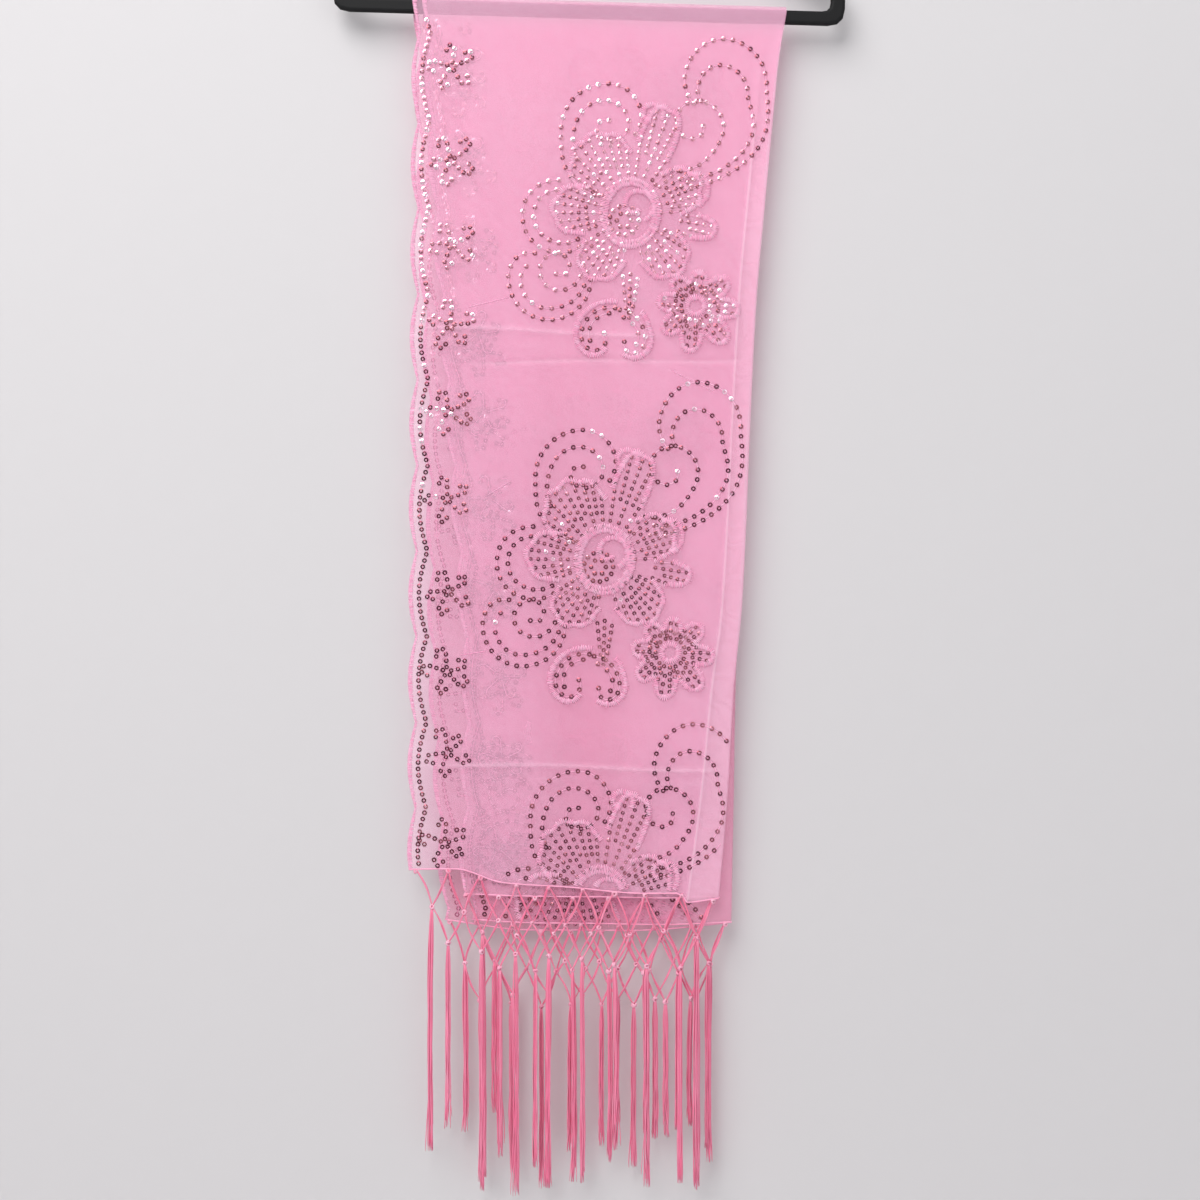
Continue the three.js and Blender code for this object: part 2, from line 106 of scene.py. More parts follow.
BACK_HEMS = [
    {"across": 0, "outer": 752, "inner": 751},
    {"across": 0.3, "outer": 760, "inner": 754},
    {"across": 0.6, "outer": 761, "inner": 755},
    {"across": 1, "outer": 754, "inner": 753},
]
CREASE_LINE = [
    {"fall": 0, "across": 0.955},
    {"fall": 240, "across": 0.953},
    {"fall": 490, "across": 0.945},
    {"fall": 600, "across": 0.93},
    {"fall": 735, "across": 0.904},
]


def curve_of(table, by, key):
    """A smooth curve through one column of a table, which never swings past its rows."""
    at = np.array([row[by] for row in table], float)
    value = np.array([row[key] for row in table], float)
    rise = np.diff(value) / np.diff(at)
    before = np.concatenate([rise[:1], rise])
    after = np.concatenate([rise, rise[-1:]])
    together = before * after > 0
    slope = np.where(together, 2 * before * after / np.where(together, before + after, 1), 0)

    def read(where):
        x = np.clip(np.asarray(where, float), at[0], at[-1])
        i = np.clip(np.searchsorted(at, x, side="right") - 1, 0, len(at) - 2)
        span = at[i + 1] - at[i]
        t = (x - at[i]) / span
        ease = t * t * (3 - 2 * t)
        lead = t * (1 - t) ** 2 * slope[i] - t * t * (1 - t) * slope[i + 1]
        return value[i] + (value[i + 1] - value[i]) * ease + span * lead

    return read


def smooth_step(x, low, high):
    t = np.clip((np.asarray(x, float) - low) / (high - low), 0, 1)
    return t * t * (3 - 2 * t)


def uneven(step, seed):
    """A number from 0 to 1 that looks random and is the same each time."""
    wave = np.sin(12.9898 * np.asarray(step, float) + 78.233 * seed) * 43758.5453
    return wave - np.floor(wave)


def half_of(edges, hems, side, length):
    return {
        "side": side,
        "length": length,
        "outer": curve_of(edges, "fall", "outer"),
        "inner": curve_of(edges, "fall", "inner"),
        "fold": curve_of(edges, "fall", "fold"),
        "outer_hem": curve_of(hems, "across", "outer"),
        "inner_hem": curve_of(hems, "across", "inner"),
        "over": 0.0 if side > 0 else math.pi,
    }


HALVES = {
    "front": half_of(FRONT_EDGES, FRONT_HEMS, 1, FRONT_LENGTH),
    "back": half_of(BACK_EDGES, BACK_HEMS, -1, BACK_LENGTH),
}
crease_at = curve_of(CREASE_LINE, "fall", "across")
OUTER_TURNS = 1.5
LAYERS = [
    {"name": "front_outer", "half": "front", "turn": 0.0, "face": -1, "flowers_from": 14},
    {"name": "front_inner", "half": "front", "turn": math.pi, "face": 1, "flowers_from": 14},
    {"name": "back_inner", "half": "back", "turn": math.pi, "face": -1, "flowers_from": 706},
    {"name": "back_outer", "half": "back", "turn": 0.0, "face": 1, "flowers_from": 14},
]
print("fold at the front hem, mm:", round(float(HALVES["front"]["fold"](FRONT_LENGTH)), 1))

# %% [markdown]
# ## Creases, placed one by one
# Organza keeps the marks of the packet it came in: two soft cross folds close together, a fainter one
# below them, one near the hem, and a long one beside the fold. Long shallow ridges and troughs run down
# between them. Each is a row of a table with its own length, height and width, so that no two are
# alike; the long crease beside the fold has a table of its own, since the solid model shares it.

# %% Tables of the creases, and how the cloth lies in depth
LONG_CREASES = [
    {"x_top": -92, "x_low": -104, "start": 20, "end": 560, "width": 9, "height": 0.9},
    {"x_top": -38, "x_low": -30, "start": 180, "end": 728, "width": 13, "height": -1.0},
    {"x_top": 22, "x_low": 40, "start": 60, "end": 420, "width": 10, "height": 0.7},
    {"x_top": 66, "x_low": 52, "start": 330, "end": 760, "width": 12, "height": -0.9},
    {"x_top": 118, "x_low": 84, "start": 40, "end": 700, "width": 8, "height": 0.8},
    {"x_top": -128, "x_low": -122, "start": 380, "end": 740, "width": 7, "height": -0.6},
]
CROSS_CREASES = [
    {"fall_left": 265, "fall_right": 272, "x_from": -150, "x_to": 60, "width": 2.2, "height": 0.7},
    {"fall_left": 294, "fall_right": 292, "x_from": -110, "x_to": 128, "width": 2.6, "height": -0.6},
    {"fall_left": 622, "fall_right": 627, "x_from": -150, "x_to": 105, "width": 2.4, "height": 0.8},
    {"fall_left": 470, "fall_right": 476, "x_from": -60, "x_to": 90, "width": 3.0, "height": 0.35},
]
LONG_FADE = 90.0
LONG_SHIFT = 7.0
LONG_WANDER = {"size": 3.0, "length": 90.0}
CROSS_FADE = 24.0
CROSS_SHIFT = 12.0
CROSS_WANDER = {"size": 1.2, "length": 31.0}


def soft_ends(where, start, end, fade):
    return smooth_step(where, start, start + fade) * (1 - smooth_step(where, end - fade, end))


def cross_line(row, x, shift):
    """The fall of one cross crease at each x, and how fully it is there."""
    share = (x - row["x_from"]) / (row["x_to"] - row["x_from"])
    line = row["fall_left"] + (row["fall_right"] - row["fall_left"]) * share + CROSS_SHIFT * shift
    wander = CROSS_WANDER["size"] * np.sin(x / CROSS_WANDER["length"] + row["fall_left"])
    return line + wander, soft_ends(x, row["x_from"], row["x_to"], CROSS_FADE)


def creases(x, fall, shift):
    """Height of all the soft creases at a place; shift moves them a little on the other side."""
    total = np.zeros(np.broadcast(x, fall).shape)
    for row in LONG_CREASES:
        line = row["x_top"] + (row["x_low"] - row["x_top"]) * fall / FRONT_LENGTH + LONG_SHIFT * shift
        wander = LONG_WANDER["size"] * np.sin(fall / LONG_WANDER["length"] + row["x_top"])
        ends = soft_ends(fall, row["start"], row["end"], LONG_FADE)
        total += row["height"] * ends * np.exp(-(((x - line - wander) / row["width"]) ** 2))
    for row in CROSS_CREASES:
        line, ends = cross_line(row, x, shift)
        total += row["height"] * ends * np.exp(-(((fall - line) / row["width"]) ** 2))
    return total


# Strengths of the crease marks, which paint a paler sheen along each crease and thicken its cover.
CROSS_MARK = {"strength": 0.34, "width": 1.5}
LONG_MARK = {"strength": 0.55, "width": 1.2, "from": 40, "full": 160}
BAND_MARK = {"strength": 0.3, "edge": 1.5, "from": 20, "full": 200}


def crease_marks(half, turn, x, fall):
    """How strongly the cloth is creased at a place, from 0 to 1: pressed folds are drawn as paler
    lines, a painted sheen, and as denser cloth.
    """
    marks = np.zeros(np.broadcast(x, fall).shape)
    for row in CROSS_CREASES:
        line, ends = cross_line(row, x, 1 if half["side"] < 0 else 0)
        near = np.exp(-(((fall - line) / CROSS_MARK["width"]) ** 2))
        marks += CROSS_MARK["strength"] * abs(row["height"]) * ends * near
    if half["side"] > 0 and turn < OUTER_TURNS:
        edge, fold_start, _, _ = layer_edges(half, turn, fall)
        past = x - edge - crease_at(fall) * (fold_start - edge)
        long = LONG_MARK["strength"] * np.exp(-((past / LONG_MARK["width"]) ** 2))
        long = long * smooth_step(fall, LONG_MARK["from"], LONG_MARK["full"])
        band = BAND_MARK["strength"] * smooth_step(past, -BAND_MARK["edge"], BAND_MARK["edge"])
        band = band * smooth_step(fall, BAND_MARK["from"], BAND_MARK["full"])
        marks += np.maximum(long, band)
    return np.clip(marks, 0, 1)


RIPPLE_START = 34.0
RIPPLE_GROWTH = 1.3
RIPPLE_MOST = 1.1
SLOW_RIPPLE = {"share": 0.4, "stretch": 2.3, "fall": 240.0}


def ripple(x, fall):
    """The soft wave across the shawl, which grows towards the hems."""
    growth = np.clip((fall - BAR_HEIGHT) / (FRONT_LENGTH - BAR_HEIGHT), 0, RIPPLE_MOST) ** RIPPLE_GROWTH
    long = np.sin(2 * np.pi * (x + RIPPLE_START) / RIPPLE_LENGTH)
    slow_length = SLOW_RIPPLE["stretch"] * RIPPLE_LENGTH
    slow = SLOW_RIPPLE["share"] * np.sin(2 * np.pi * x / slow_length + fall / SLOW_RIPPLE["fall"])
    return RIPPLE_HEIGHT * growth * (long + slow)


def bar_top(x, fall):
    tilted = BAR_TOP / math.cos(TILT) - x * math.tan(TILT)
    return tilted + (BAR_TOP - tilted) * np.clip(fall / LEVEL_BY, 0, 1)


def depths(fall):
    ease = smooth_step(fall, BAR_HEIGHT, LAYERS_SETTLE_BY)
    outer = OUTER_DEPTH["bar"] + (OUTER_DEPTH["hem"] - OUTER_DEPTH["bar"]) * ease
    inner = INNER_DEPTH["bar"] + (INNER_DEPTH["hem"] - INNER_DEPTH["bar"]) * ease
    return outer, inner


RIDGE = {"height": 1.1, "width": 2.6, "full": 70}
PUCKER = {"height": 0.35, "reach": 6, "length": 1.9, "wander": 13, "full": 40}
CREASES_FULL_BY = 60


def depth_shift(half, x, fall):
    """What moves a whole half of the shawl towards the viewer or away."""
    calm = smooth_step(fall, BAR_HEIGHT, CREASES_FULL_BY)
    return ripple(x, fall) - calm * creases(x, fall, 0.0 if half["side"] > 0 else 1.0)


def layer_edges(half, turn, fall):
    outer, inner = depths(fall)
    radius = (outer - inner) / 2
    edge = half["outer"](fall) if turn < OUTER_TURNS else half["inner"](fall)
    return edge, half["fold"](fall) - radius, (outer + inner) / 2, radius


def scallop(half, fall):
    """How far the scalloped edge stands out (below 0) or in (above 0) at a fall."""
    phase = np.pi * (half["side"] * fall - SCALLOP_START) / SCALLOP_PITCH
    return SCALLOP_DEPTH * (MEAN_OF_ARCHES - np.abs(np.sin(phase)))


def cloth_point(half, turn, across, fall, over=None):
    """Points of the cloth in metres: turn is 0 on the outer layer and pi on the inner one."""
    over = half["over"] if over is None else over
    edge, fold_start, middle, radius = layer_edges(half, turn, fall)
    from_edge = across * (fold_start - edge)
    waved = scallop(half, fall) * np.clip(1 - from_edge / SCALLOP_REACH, 0, 1) ** SCALLOP_FADE
    x = edge + from_edge + waved + radius * math.sin(turn)
    to_crease = (across - crease_at(fall)) * (fold_start - edge) / RIDGE["width"]
    ridge = RIDGE["height"] * np.exp(-(to_crease**2)) * (turn < OUTER_TURNS)
    ridge = ridge * smooth_step(fall, BAR_HEIGHT, RIDGE["full"])
    wave = np.sin(fall / PUCKER["length"] + 2 * np.sin(fall / PUCKER["wander"]))
    pucker = PUCKER["height"] * wave * np.exp(-from_edge / PUCKER["reach"])
    pucker = pucker * smooth_step(fall, BAR_HEIGHT, PUCKER["full"])
    depth = middle + radius * math.cos(turn) + ridge + pucker
    y = -math.cos(over) * depth + depth_shift(half, x, fall)
    z = bar_top(x, fall) - fall + math.sin(over) * depth
    return np.stack(np.broadcast_arrays(x, y, z), -1) * MM


def on_layer(layer, x, fall, lift):
    """Places on a layer, lifted off its right side by lift, in metres."""
    half = HALVES[layer["half"]]
    edge, fold_start, _, _ = layer_edges(half, layer["turn"], fall)
    across = (np.asarray(x, float) - edge) / (fold_start - edge)
    points = cloth_point(half, layer["turn"], across, np.asarray(fall, float))
    points[..., 0] = np.asarray(x) * MM
    points[..., 1] += layer["face"] * lift * MM
    return points


def hem_fall(half, turn, across):
    return half["outer_hem"](across) if turn < OUTER_TURNS else half["inner_hem"](across)


# %% [markdown]
# ## Shared shader effects
# Two effects come back in several finishes. One is the crossing of fine threads, which every woven
# piece shows close to. The other is the slow, cloudy change of tone that keeps a surface from looking
# painted. Each is a node group with named sockets, built once, and given its own scale in each use.

# %% Node helpers, and the two shared groups
def new_group(name, inputs, outputs):
    group = bpy.data.node_groups.new(name, "ShaderNodeTree")
    for label, kind, value in inputs:
        socket = group.interface.new_socket(label, in_out="INPUT", socket_type=kind)
        if value is not None:
            socket.default_value = value
    for label, kind in outputs:
        group.interface.new_socket(label, in_out="OUTPUT", socket_type=kind)
    return group, group.nodes.new("NodeGroupInput"), group.nodes.new("NodeGroupOutput")


def math_node(tree, operation, first, second=None, clamp=False):
    node = tree.nodes.new("ShaderNodeMath")
    node.operation = operation
    node.use_clamp = clamp
    for socket, value in zip(node.inputs, (first, second)):
        if value is None:
            continue
        if isinstance(value, (int, float)):
            socket.default_value = value
        else:
            tree.links.new(value, socket)
    return node.outputs[0]


def make_weave_group():
    """Fine threads that cross: a height for bump, and how much of the cloth the threads cover."""
    group, start, end = new_group(
        "crossed_threads",
        [("Vector", "NodeSocketVector", None), ("Threads per metre", "NodeSocketFloat", 1500.0)],
        [("Height", "NodeSocketFloat"), ("Cover", "NodeSocketFloat")],
    )
    parts = group.nodes.new("ShaderNodeSeparateXYZ")
    group.links.new(start.outputs["Vector"], parts.inputs[0])
    rate = math_node(group, "MULTIPLY", start.outputs["Threads per metre"], 2 * math.pi)
    waves = []
    for axis in ("X", "Y"):
        angle = math_node(group, "MULTIPLY", parts.outputs[axis], rate)
        waves.append(math_node(group, "ABSOLUTE", math_node(group, "SINE", angle)))
    height = math_node(group, "MAXIMUM", waves[0], waves[1])
    group.links.new(height, end.inputs["Height"])
    group.links.new(math_node(group, "POWER", height, 2.0), end.inputs["Cover"])
    return group


def make_cloud_group():
    """Slow patches of lighter and darker tone, from 0 to 1, with a second finer layer."""
    group, start, end = new_group(
        "cloudy_tone",
        [("Vector", "NodeSocketVector", None), ("Scale", "NodeSocketFloat", 10.0),
         ("Detail", "NodeSocketFloat", 4.0)],
        [("Tone", "NodeSocketFloat")],
    )
    noise = group.nodes.new("ShaderNodeTexNoise")
    group.links.new(start.outputs["Detail"], noise.inputs["Detail"])
    noise.inputs["Roughness"].default_value = 0.55
    group.links.new(start.outputs["Vector"], noise.inputs["Vector"])
    group.links.new(start.outputs["Scale"], noise.inputs["Scale"])
    group.links.new(noise.outputs[0], end.inputs["Tone"])
    return group


WEAVE = make_weave_group()
CLOUDS = make_cloud_group()


def place(tree, group, **values):
    node = tree.nodes.new("ShaderNodeGroup")
    node.node_tree = group
    for label, value in values.items():
        node.inputs[label.replace("_", " ")].default_value = value
    return node


def new_material(name, color, roughness, **settings):
    """A material with its Principled shader; the settings go on the shader's own sockets."""
    material = bpy.data.materials.new(name)
    material.use_nodes = True
    shader = material.node_tree.nodes["Principled BSDF"]
    shader.inputs["Base Color"].default_value = (*color, 1)
    shader.inputs["Roughness"].default_value = roughness
    for label, value in settings.items():
        shader.inputs[label.replace("_", " ")].default_value = value
    return material, material.node_tree, shader


def blend_colors(tree, factor, first, second):
    mix = tree.nodes.new("ShaderNodeMix")
    mix.data_type = "RGBA"
    sockets = [s for s in mix.inputs if s.type == "RGBA"]
    tree.links.new(factor, mix.inputs[0])
    for socket, color in zip(sockets, (first, second)):
        if isinstance(color, tuple):
            socket.default_value = (*color, 1)
        else:
            tree.links.new(color, socket)
    return [s for s in mix.outputs if s.type == "RGBA"][0]


def remap(tree, value, low, high):
    node = tree.nodes.new("ShaderNodeMapRange")
    node.inputs["To Min"].default_value = low
    node.inputs["To Max"].default_value = high
    tree.links.new(value, node.inputs["Value"])
    return node.outputs[0]


def read_attribute(tree, name):
    node = tree.nodes.new("ShaderNodeAttribute")
    node.attribute_name = name
    return node.outputs["Fac"]


def object_space(tree):
    return tree.nodes.new("ShaderNodeTexCoord").outputs["Object"]


def mixed(tree, first, second, share):
    """The first value by its share and the second by the rest."""
    return math_node(tree, "ADD", math_node(tree, "MULTIPLY", first, share),
                     math_node(tree, "MULTIPLY", second, 1 - share))


def add_bump(tree, shader, height, strength, distance):
    bump = tree.nodes.new("ShaderNodeBump")
    bump.inputs["Strength"].default_value = strength
    bump.inputs["Distance"].default_value = distance
    tree.links.new(height, bump.inputs["Height"])
    tree.links.new(bump.outputs["Normal"], shader.inputs["Normal"])


print("shared groups:", WEAVE.name, CLOUDS.name)

# %% [markdown]
# ## The finishes
# Organza is a plain weave of hard-twisted thread: sheer, crisp, with a dry shine. Where four layers lie
# on each other, their weaves beat together into a watery pattern, which is drawn here as a stretched,
# bent wave in the cover of the threads. Sequins are flat rings of film with a metal face. The fringe
# and the stitches are glossy thread. The hanger is matte black plastic with a wire hook.

# %% Organza
COVER_LOW = 0.145
COVER_HIGH = 0.28
PALE_PINK = (1.0, 0.59, 0.78)
WARM_PINK = (1.0, 0.50, 0.71)
# Painted shade: layers that lie further back are painted towards this deeper pink, which stands in for
# the shade they lie in.
PAINTED_SHADE_PINK = (0.86, 0.22, 0.42)
# Painted sheen: pressed creases are painted towards this paler pink, and their denser cloth is the
# extra cover below.
CREASE_SHEEN_PINK = (1.0, 0.78, 0.88)
WATER_SHARE = 0.25
# How far the painted shade deepens the pink of the back layers.
PAINTED_SHADE_SHARE = 0.75
CREASE_COVER = 0.28


def make_organza():
    material, tree, shader = new_material(
        "organza", PALE_PINK, 0.5,
        Sheen_Weight=0.3, Sheen_Roughness=0.35, Specular_IOR_Level=0.35,
    )
    shader.inputs["Sheen Tint"].default_value = (1.0, 0.85, 0.93, 1)
    uv = tree.nodes.new("ShaderNodeUVMap")
    uv.uv_map = "Cloth"
    clouds = place(tree, CLOUDS, Scale=9.0, Detail=1.0)
    tree.links.new(uv.outputs[0], clouds.inputs["Vector"])
    water = tree.nodes.new("ShaderNodeTexWave")
    water.wave_type = "BANDS"
    water.bands_direction = "DIAGONAL"
    water.inputs["Scale"].default_value = 36.0
    water.inputs["Distortion"].default_value = 11.0
    water.inputs["Detail"].default_value = 1.0
    water.inputs["Detail Scale"].default_value = 1.2
    tree.links.new(uv.outputs[0], water.inputs["Vector"])
    weave = place(tree, WEAVE, Threads_per_metre=900.0)
    tree.links.new(uv.outputs[0], weave.inputs["Vector"])
    crease = read_attribute(tree, "crease")
    both = mixed(tree, water.outputs["Fac"], clouds.outputs["Tone"], WATER_SHARE)
    color = blend_colors(tree, both, WARM_PINK, PALE_PINK)
    # Painted shade: the further back a layer lies, the deeper its pink.
    depth = math_node(tree, "MULTIPLY", read_attribute(tree, "depth"), PAINTED_SHADE_SHARE)
    color = blend_colors(tree, depth, color, PAINTED_SHADE_PINK)
    # Painted sheen: creases are painted paler, and CREASE_COVER adds their real extra density.
    color = blend_colors(tree, crease, color, CREASE_SHEEN_PINK)
    tree.links.new(color, shader.inputs["Base Color"])
    fine = math_node(tree, "MULTIPLY", weave.outputs["Cover"], 0.5)
    cover = math_node(tree, "ADD", fine, math_node(tree, "MULTIPLY", both, 0.5), clamp=True)
    cover = remap(tree, cover, COVER_LOW, COVER_HIGH)
    pressed = math_node(tree, "MULTIPLY", crease, CREASE_COVER)
    tree.links.new(math_node(tree, "ADD", cover, pressed), shader.inputs["Alpha"])
    return material


ORGANZA = make_organza()


# %% Thread: fringe, knots and stitches
def make_thread(name, dark, light, roughness, strands_per_metre):
    material, tree, shader = new_material(name, light, roughness)
    place_in_space = object_space(tree)
    clouds = place(tree, CLOUDS, Scale=55.0)
    tree.links.new(place_in_space, clouds.inputs["Vector"])
    both = mixed(tree, clouds.outputs["Tone"], read_attribute(tree, "tone"), 0.5)
    tree.links.new(blend_colors(tree, both, dark, light), shader.inputs["Base Color"])
    weave = place(tree, WEAVE, Threads_per_metre=strands_per_metre)
    tree.links.new(place_in_space, weave.inputs["Vector"])
    add_bump(tree, shader, weave.outputs["Height"], strength=0.35, distance=0.0003)
    return material


FRINGE = make_thread("fringe_silk", (0.90, 0.13, 0.29), (1.0, 0.40, 0.56), 0.32, 2500.0)
# The knots are painted paler than the fringe silk: a painted highlight on their round wraps.
KNOT = make_thread("knot_silk", (0.92, 0.28, 0.45), (1.0, 0.60, 0.74), 0.3, 2500.0)
STITCH = make_thread("satin_stitch", (0.96, 0.33, 0.56), (1.0, 0.66, 0.83), 0.32, 3000.0)
HEM_THREAD = make_thread("rolled_hem", (0.92, 0.36, 0.55), (0.97, 0.48, 0.66), 0.45, 1200.0)


# %% Sequins
def make_sequin_film():
    material, tree, shader = new_material("sequin_film", (0.2, 0.05, 0.08), 0.2, Metallic=1.0)
    # The tone runs from a painted glint, a near white pink, at 0 to a dark plum film at 1.
    ramp = tree.nodes.new("ShaderNodeValToRGB")
    stops = [(0.0, (1.0, 0.78, 0.87)), (0.25, (0.80, 0.40, 0.48)), (0.5, (0.34, 0.11, 0.13)),
             (0.8, (0.13, 0.03, 0.045)), (1.0, (0.08, 0.018, 0.03))]
    ramp.color_ramp.elements.remove(ramp.color_ramp.elements[1])
    ramp.color_ramp.elements[0].color = (*stops[0][1], 1)
    for at, color in stops[1:]:
        ramp.color_ramp.elements.new(at).color = (*color, 1)
    tree.links.new(read_attribute(tree, "tone"), ramp.inputs[0])
    tree.links.new(ramp.outputs[0], shader.inputs["Base Color"])
    clouds = place(tree, CLOUDS, Scale=700.0)
    tree.links.new(object_space(tree), clouds.inputs["Vector"])
    tree.links.new(remap(tree, clouds.outputs["Tone"], 0.12, 0.32), shader.inputs["Roughness"])
    return material


SEQUIN = make_sequin_film()


# %% The hanger's plastic and its wire
def make_hanger_finish(name, color, rough_low, rough_high, bump):
    material, tree, shader = new_material(name, color, rough_high, Specular_IOR_Level=0.22)
    place_in_space = object_space(tree)
    clouds = place(tree, CLOUDS, Scale=38.0)
    grain = place(tree, CLOUDS, Scale=1800.0)
    tree.links.new(place_in_space, clouds.inputs["Vector"])
    tree.links.new(place_in_space, grain.inputs["Vector"])
    lighter = tuple(1.7 * c + 0.002 for c in color)
    tone = clouds.outputs["Tone"]
    tree.links.new(blend_colors(tree, tone, color, lighter), shader.inputs["Base Color"])
    tree.links.new(remap(tree, tone, rough_low, rough_high), shader.inputs["Roughness"])
    add_bump(tree, shader, grain.outputs["Tone"], strength=bump, distance=0.0002)
    return material


PLASTIC = make_hanger_finish("matte_black", (0.003, 0.003, 0.0035), 0.5, 0.68, 0.3)
WIRE = make_hanger_finish("black_wire", (0.012, 0.012, 0.013), 0.25, 0.4, 0.05)
for node, finish in (("hanger_frame", PLASTIC), ("hanger_hook", WIRE)):
    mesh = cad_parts[node].data
    mesh.materials.clear()
    mesh.materials.append(finish)
print("finishes:", len(bpy.data.materials))


# %% [markdown]
# ## Building a mesh from arrays
# A sheet of cloth is a grid, and a thousand sequins are one small mesh copied to a thousand places.
# Both are quicker and tidier as arrays of numbers than as thousands of operator calls.

# %% Helpers for grids, copies and tubes
def mesh_piece(name, points, faces, material, tone=None, smooth=True):
    """A piece from arrays of points in metres and faces, riding on the part's one body."""
    mesh = bpy.data.meshes.new(name)
    points = np.asarray(points, np.float32).reshape(-1, 3)
    faces = np.asarray(faces, np.int32)
    mesh.vertices.add(len(points))
    mesh.vertices.foreach_set("co", points.ravel())
    mesh.loops.add(faces.size)
    mesh.loops.foreach_set("vertex_index", faces.ravel())
    mesh.polygons.add(len(faces))
    mesh.polygons.foreach_set("loop_start", np.arange(len(faces), dtype=np.int32) * faces.shape[1])
    mesh.polygons.foreach_set("use_smooth", np.full(len(faces), smooth))
    mesh.update(calc_edges=True)
    if tone is not None:
        attribute = mesh.attributes.new("tone", "FLOAT", "POINT")
        attribute.data.foreach_set("value", np.asarray(tone, np.float32).ravel())
    mesh.materials.append(material)
    piece = bpy.data.objects.new(name, mesh)
    bpy.context.scene.collection.objects.link(piece)
    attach(piece, "root")
    return piece


def copies(shape_points, shape_faces, places, turns):
    """One small shape copied to many places; turns holds each copy's three axes as columns."""
    count = len(shape_points)
    points = np.einsum("nij,kj->nki", turns, shape_points) + places[:, None, :]
    faces = shape_faces[None] + (np.arange(len(places)) * count)[:, None, None]
    return points.reshape(-1, 3), faces.reshape(-1, shape_faces.shape[1])


def closed_tubes(paths, radii, sides, across=(0.0, 1.0, 0.0)):
    """Closed threads along paths of equal length, with an even number of sides each.

    paths is (n, steps, 3) and radii is (n, steps), both in metres. across is a direction that no
    path follows; the rings take their turn about the path from it."""
    n, steps, _ = paths.shape
    along = np.gradient(paths, axis=1)
    along /= np.linalg.norm(along, axis=2, keepdims=True) + 1e-12
    side = np.cross(along, np.array(across))
    side /= np.linalg.norm(side, axis=2, keepdims=True) + 1e-12
    out = np.cross(side, along)
    angle = 2 * np.pi * np.arange(sides) / sides
    ring = side[:, :, None, :] * np.cos(angle)[:, None] + out[:, :, None, :] * np.sin(angle)[:, None]
    points = paths[:, :, None, :] + radii[:, :, None, None] * ring
    j, k = np.meshgrid(np.arange(steps - 1), np.arange(sides), indexing="ij")
    k2 = (k + 1) % sides
    quads = np.stack([j * sides + k, j * sides + k2, (j + 1) * sides + k2, (j + 1) * sides + k], -1)
    quads = quads.reshape(-1, 4)
    end = (steps - 1) * sides
    caps = []
    for s in range(1, sides - 2, 2):
        caps += [[0, s + 2, s + 1, s], [end, end + s, end + s + 1, end + s + 2]]
    shape = np.concatenate([quads, np.array(caps, int)])[:, ::-1]
    faces = shape[None] + (np.arange(n) * steps * sides)[:, None, None]
    return points.reshape(-1, 3), faces.reshape(-1, 4)


# %% [markdown]
# ## The organza panel
# The real panel is one cut piece, so it is one mesh here: from the front hem up over the bar and down
# to the back hem, and across from one scalloped edge round the fold to the other. A grid gives smooth
# scallops and creases, and Solidify turns it into a thin shell.

# %% The panel
FOLD_STEPS = 6
INNER_STEPS = 46
ROW_SPACING = 5.4
FINE_SPACING = 1.3
FINE_REACH = 8.0
CROWN_STEPS = 12
CLOTH_SHELL = 0.25
# Millimetres of depth over which the painted shade deepens the pink.
DEPTH_SHADE = 8.0
OUTER_STEPS = 45
EDGE_CROWDING = 1.1
PAST_CREASE_STEPS = 7
GATHER_REACH = 0.016
CREASE_COLUMN = 0.93
CREASE_GATHER = [-0.0095, -0.0055, -0.003, -0.0014, 0.0, 0.0014, 0.003, 0.0055, 0.0095]


def column_places():
    """Turns and places across, crowded where the long crease runs."""
    before = list(np.linspace(0, 1, OUTER_STEPS) ** EDGE_CROWDING * (CREASE_COLUMN - GATHER_REACH))
    at_crease = [CREASE_COLUMN + step for step in CREASE_GATHER]
    after = list(np.linspace(CREASE_COLUMN + GATHER_REACH, 1, PAST_CREASE_STEPS))
    outer = [(0.0, place) for place in before + at_crease + after]
    fold = [(turn, 1.0) for turn in np.linspace(0, math.pi, FOLD_STEPS + 1)[1:-1]]
    inner = [(math.pi, across) for across in np.linspace(1, 0, INNER_STEPS)]
    return outer + fold + inner


COLUMNS = column_places()


def across_at(turn, place, fall):
    """Outer columns bend with the long crease; the others keep their share of the width."""
    if turn > 0:
        return place + 0 * np.asarray(fall, float)
    crease = crease_at(fall)
    past = (place - CREASE_COLUMN) / (1 - CREASE_COLUMN)
    return np.where(place < CREASE_COLUMN, place / CREASE_COLUMN * crease, crease + past * (1 - crease))


def row_falls(half):
    """Falls of the rows down one half, closer together where the cross creases lie."""
    length = half["length"]
    falls = list(np.linspace(BAR_HALF_THICKNESS, length, int(length / ROW_SPACING) + 1)[1:])
    for row in CROSS_CREASES:
        middle = (row["fall_left"] + row["fall_right"]) / 2 + (CROSS_SHIFT if half["side"] < 0 else 0)
        near = np.arange(middle - FINE_REACH, middle + FINE_REACH, FINE_SPACING)
        falls = [fall for fall in falls if abs(fall - middle) > FINE_REACH] + list(near)
    return np.array(sorted(falls))


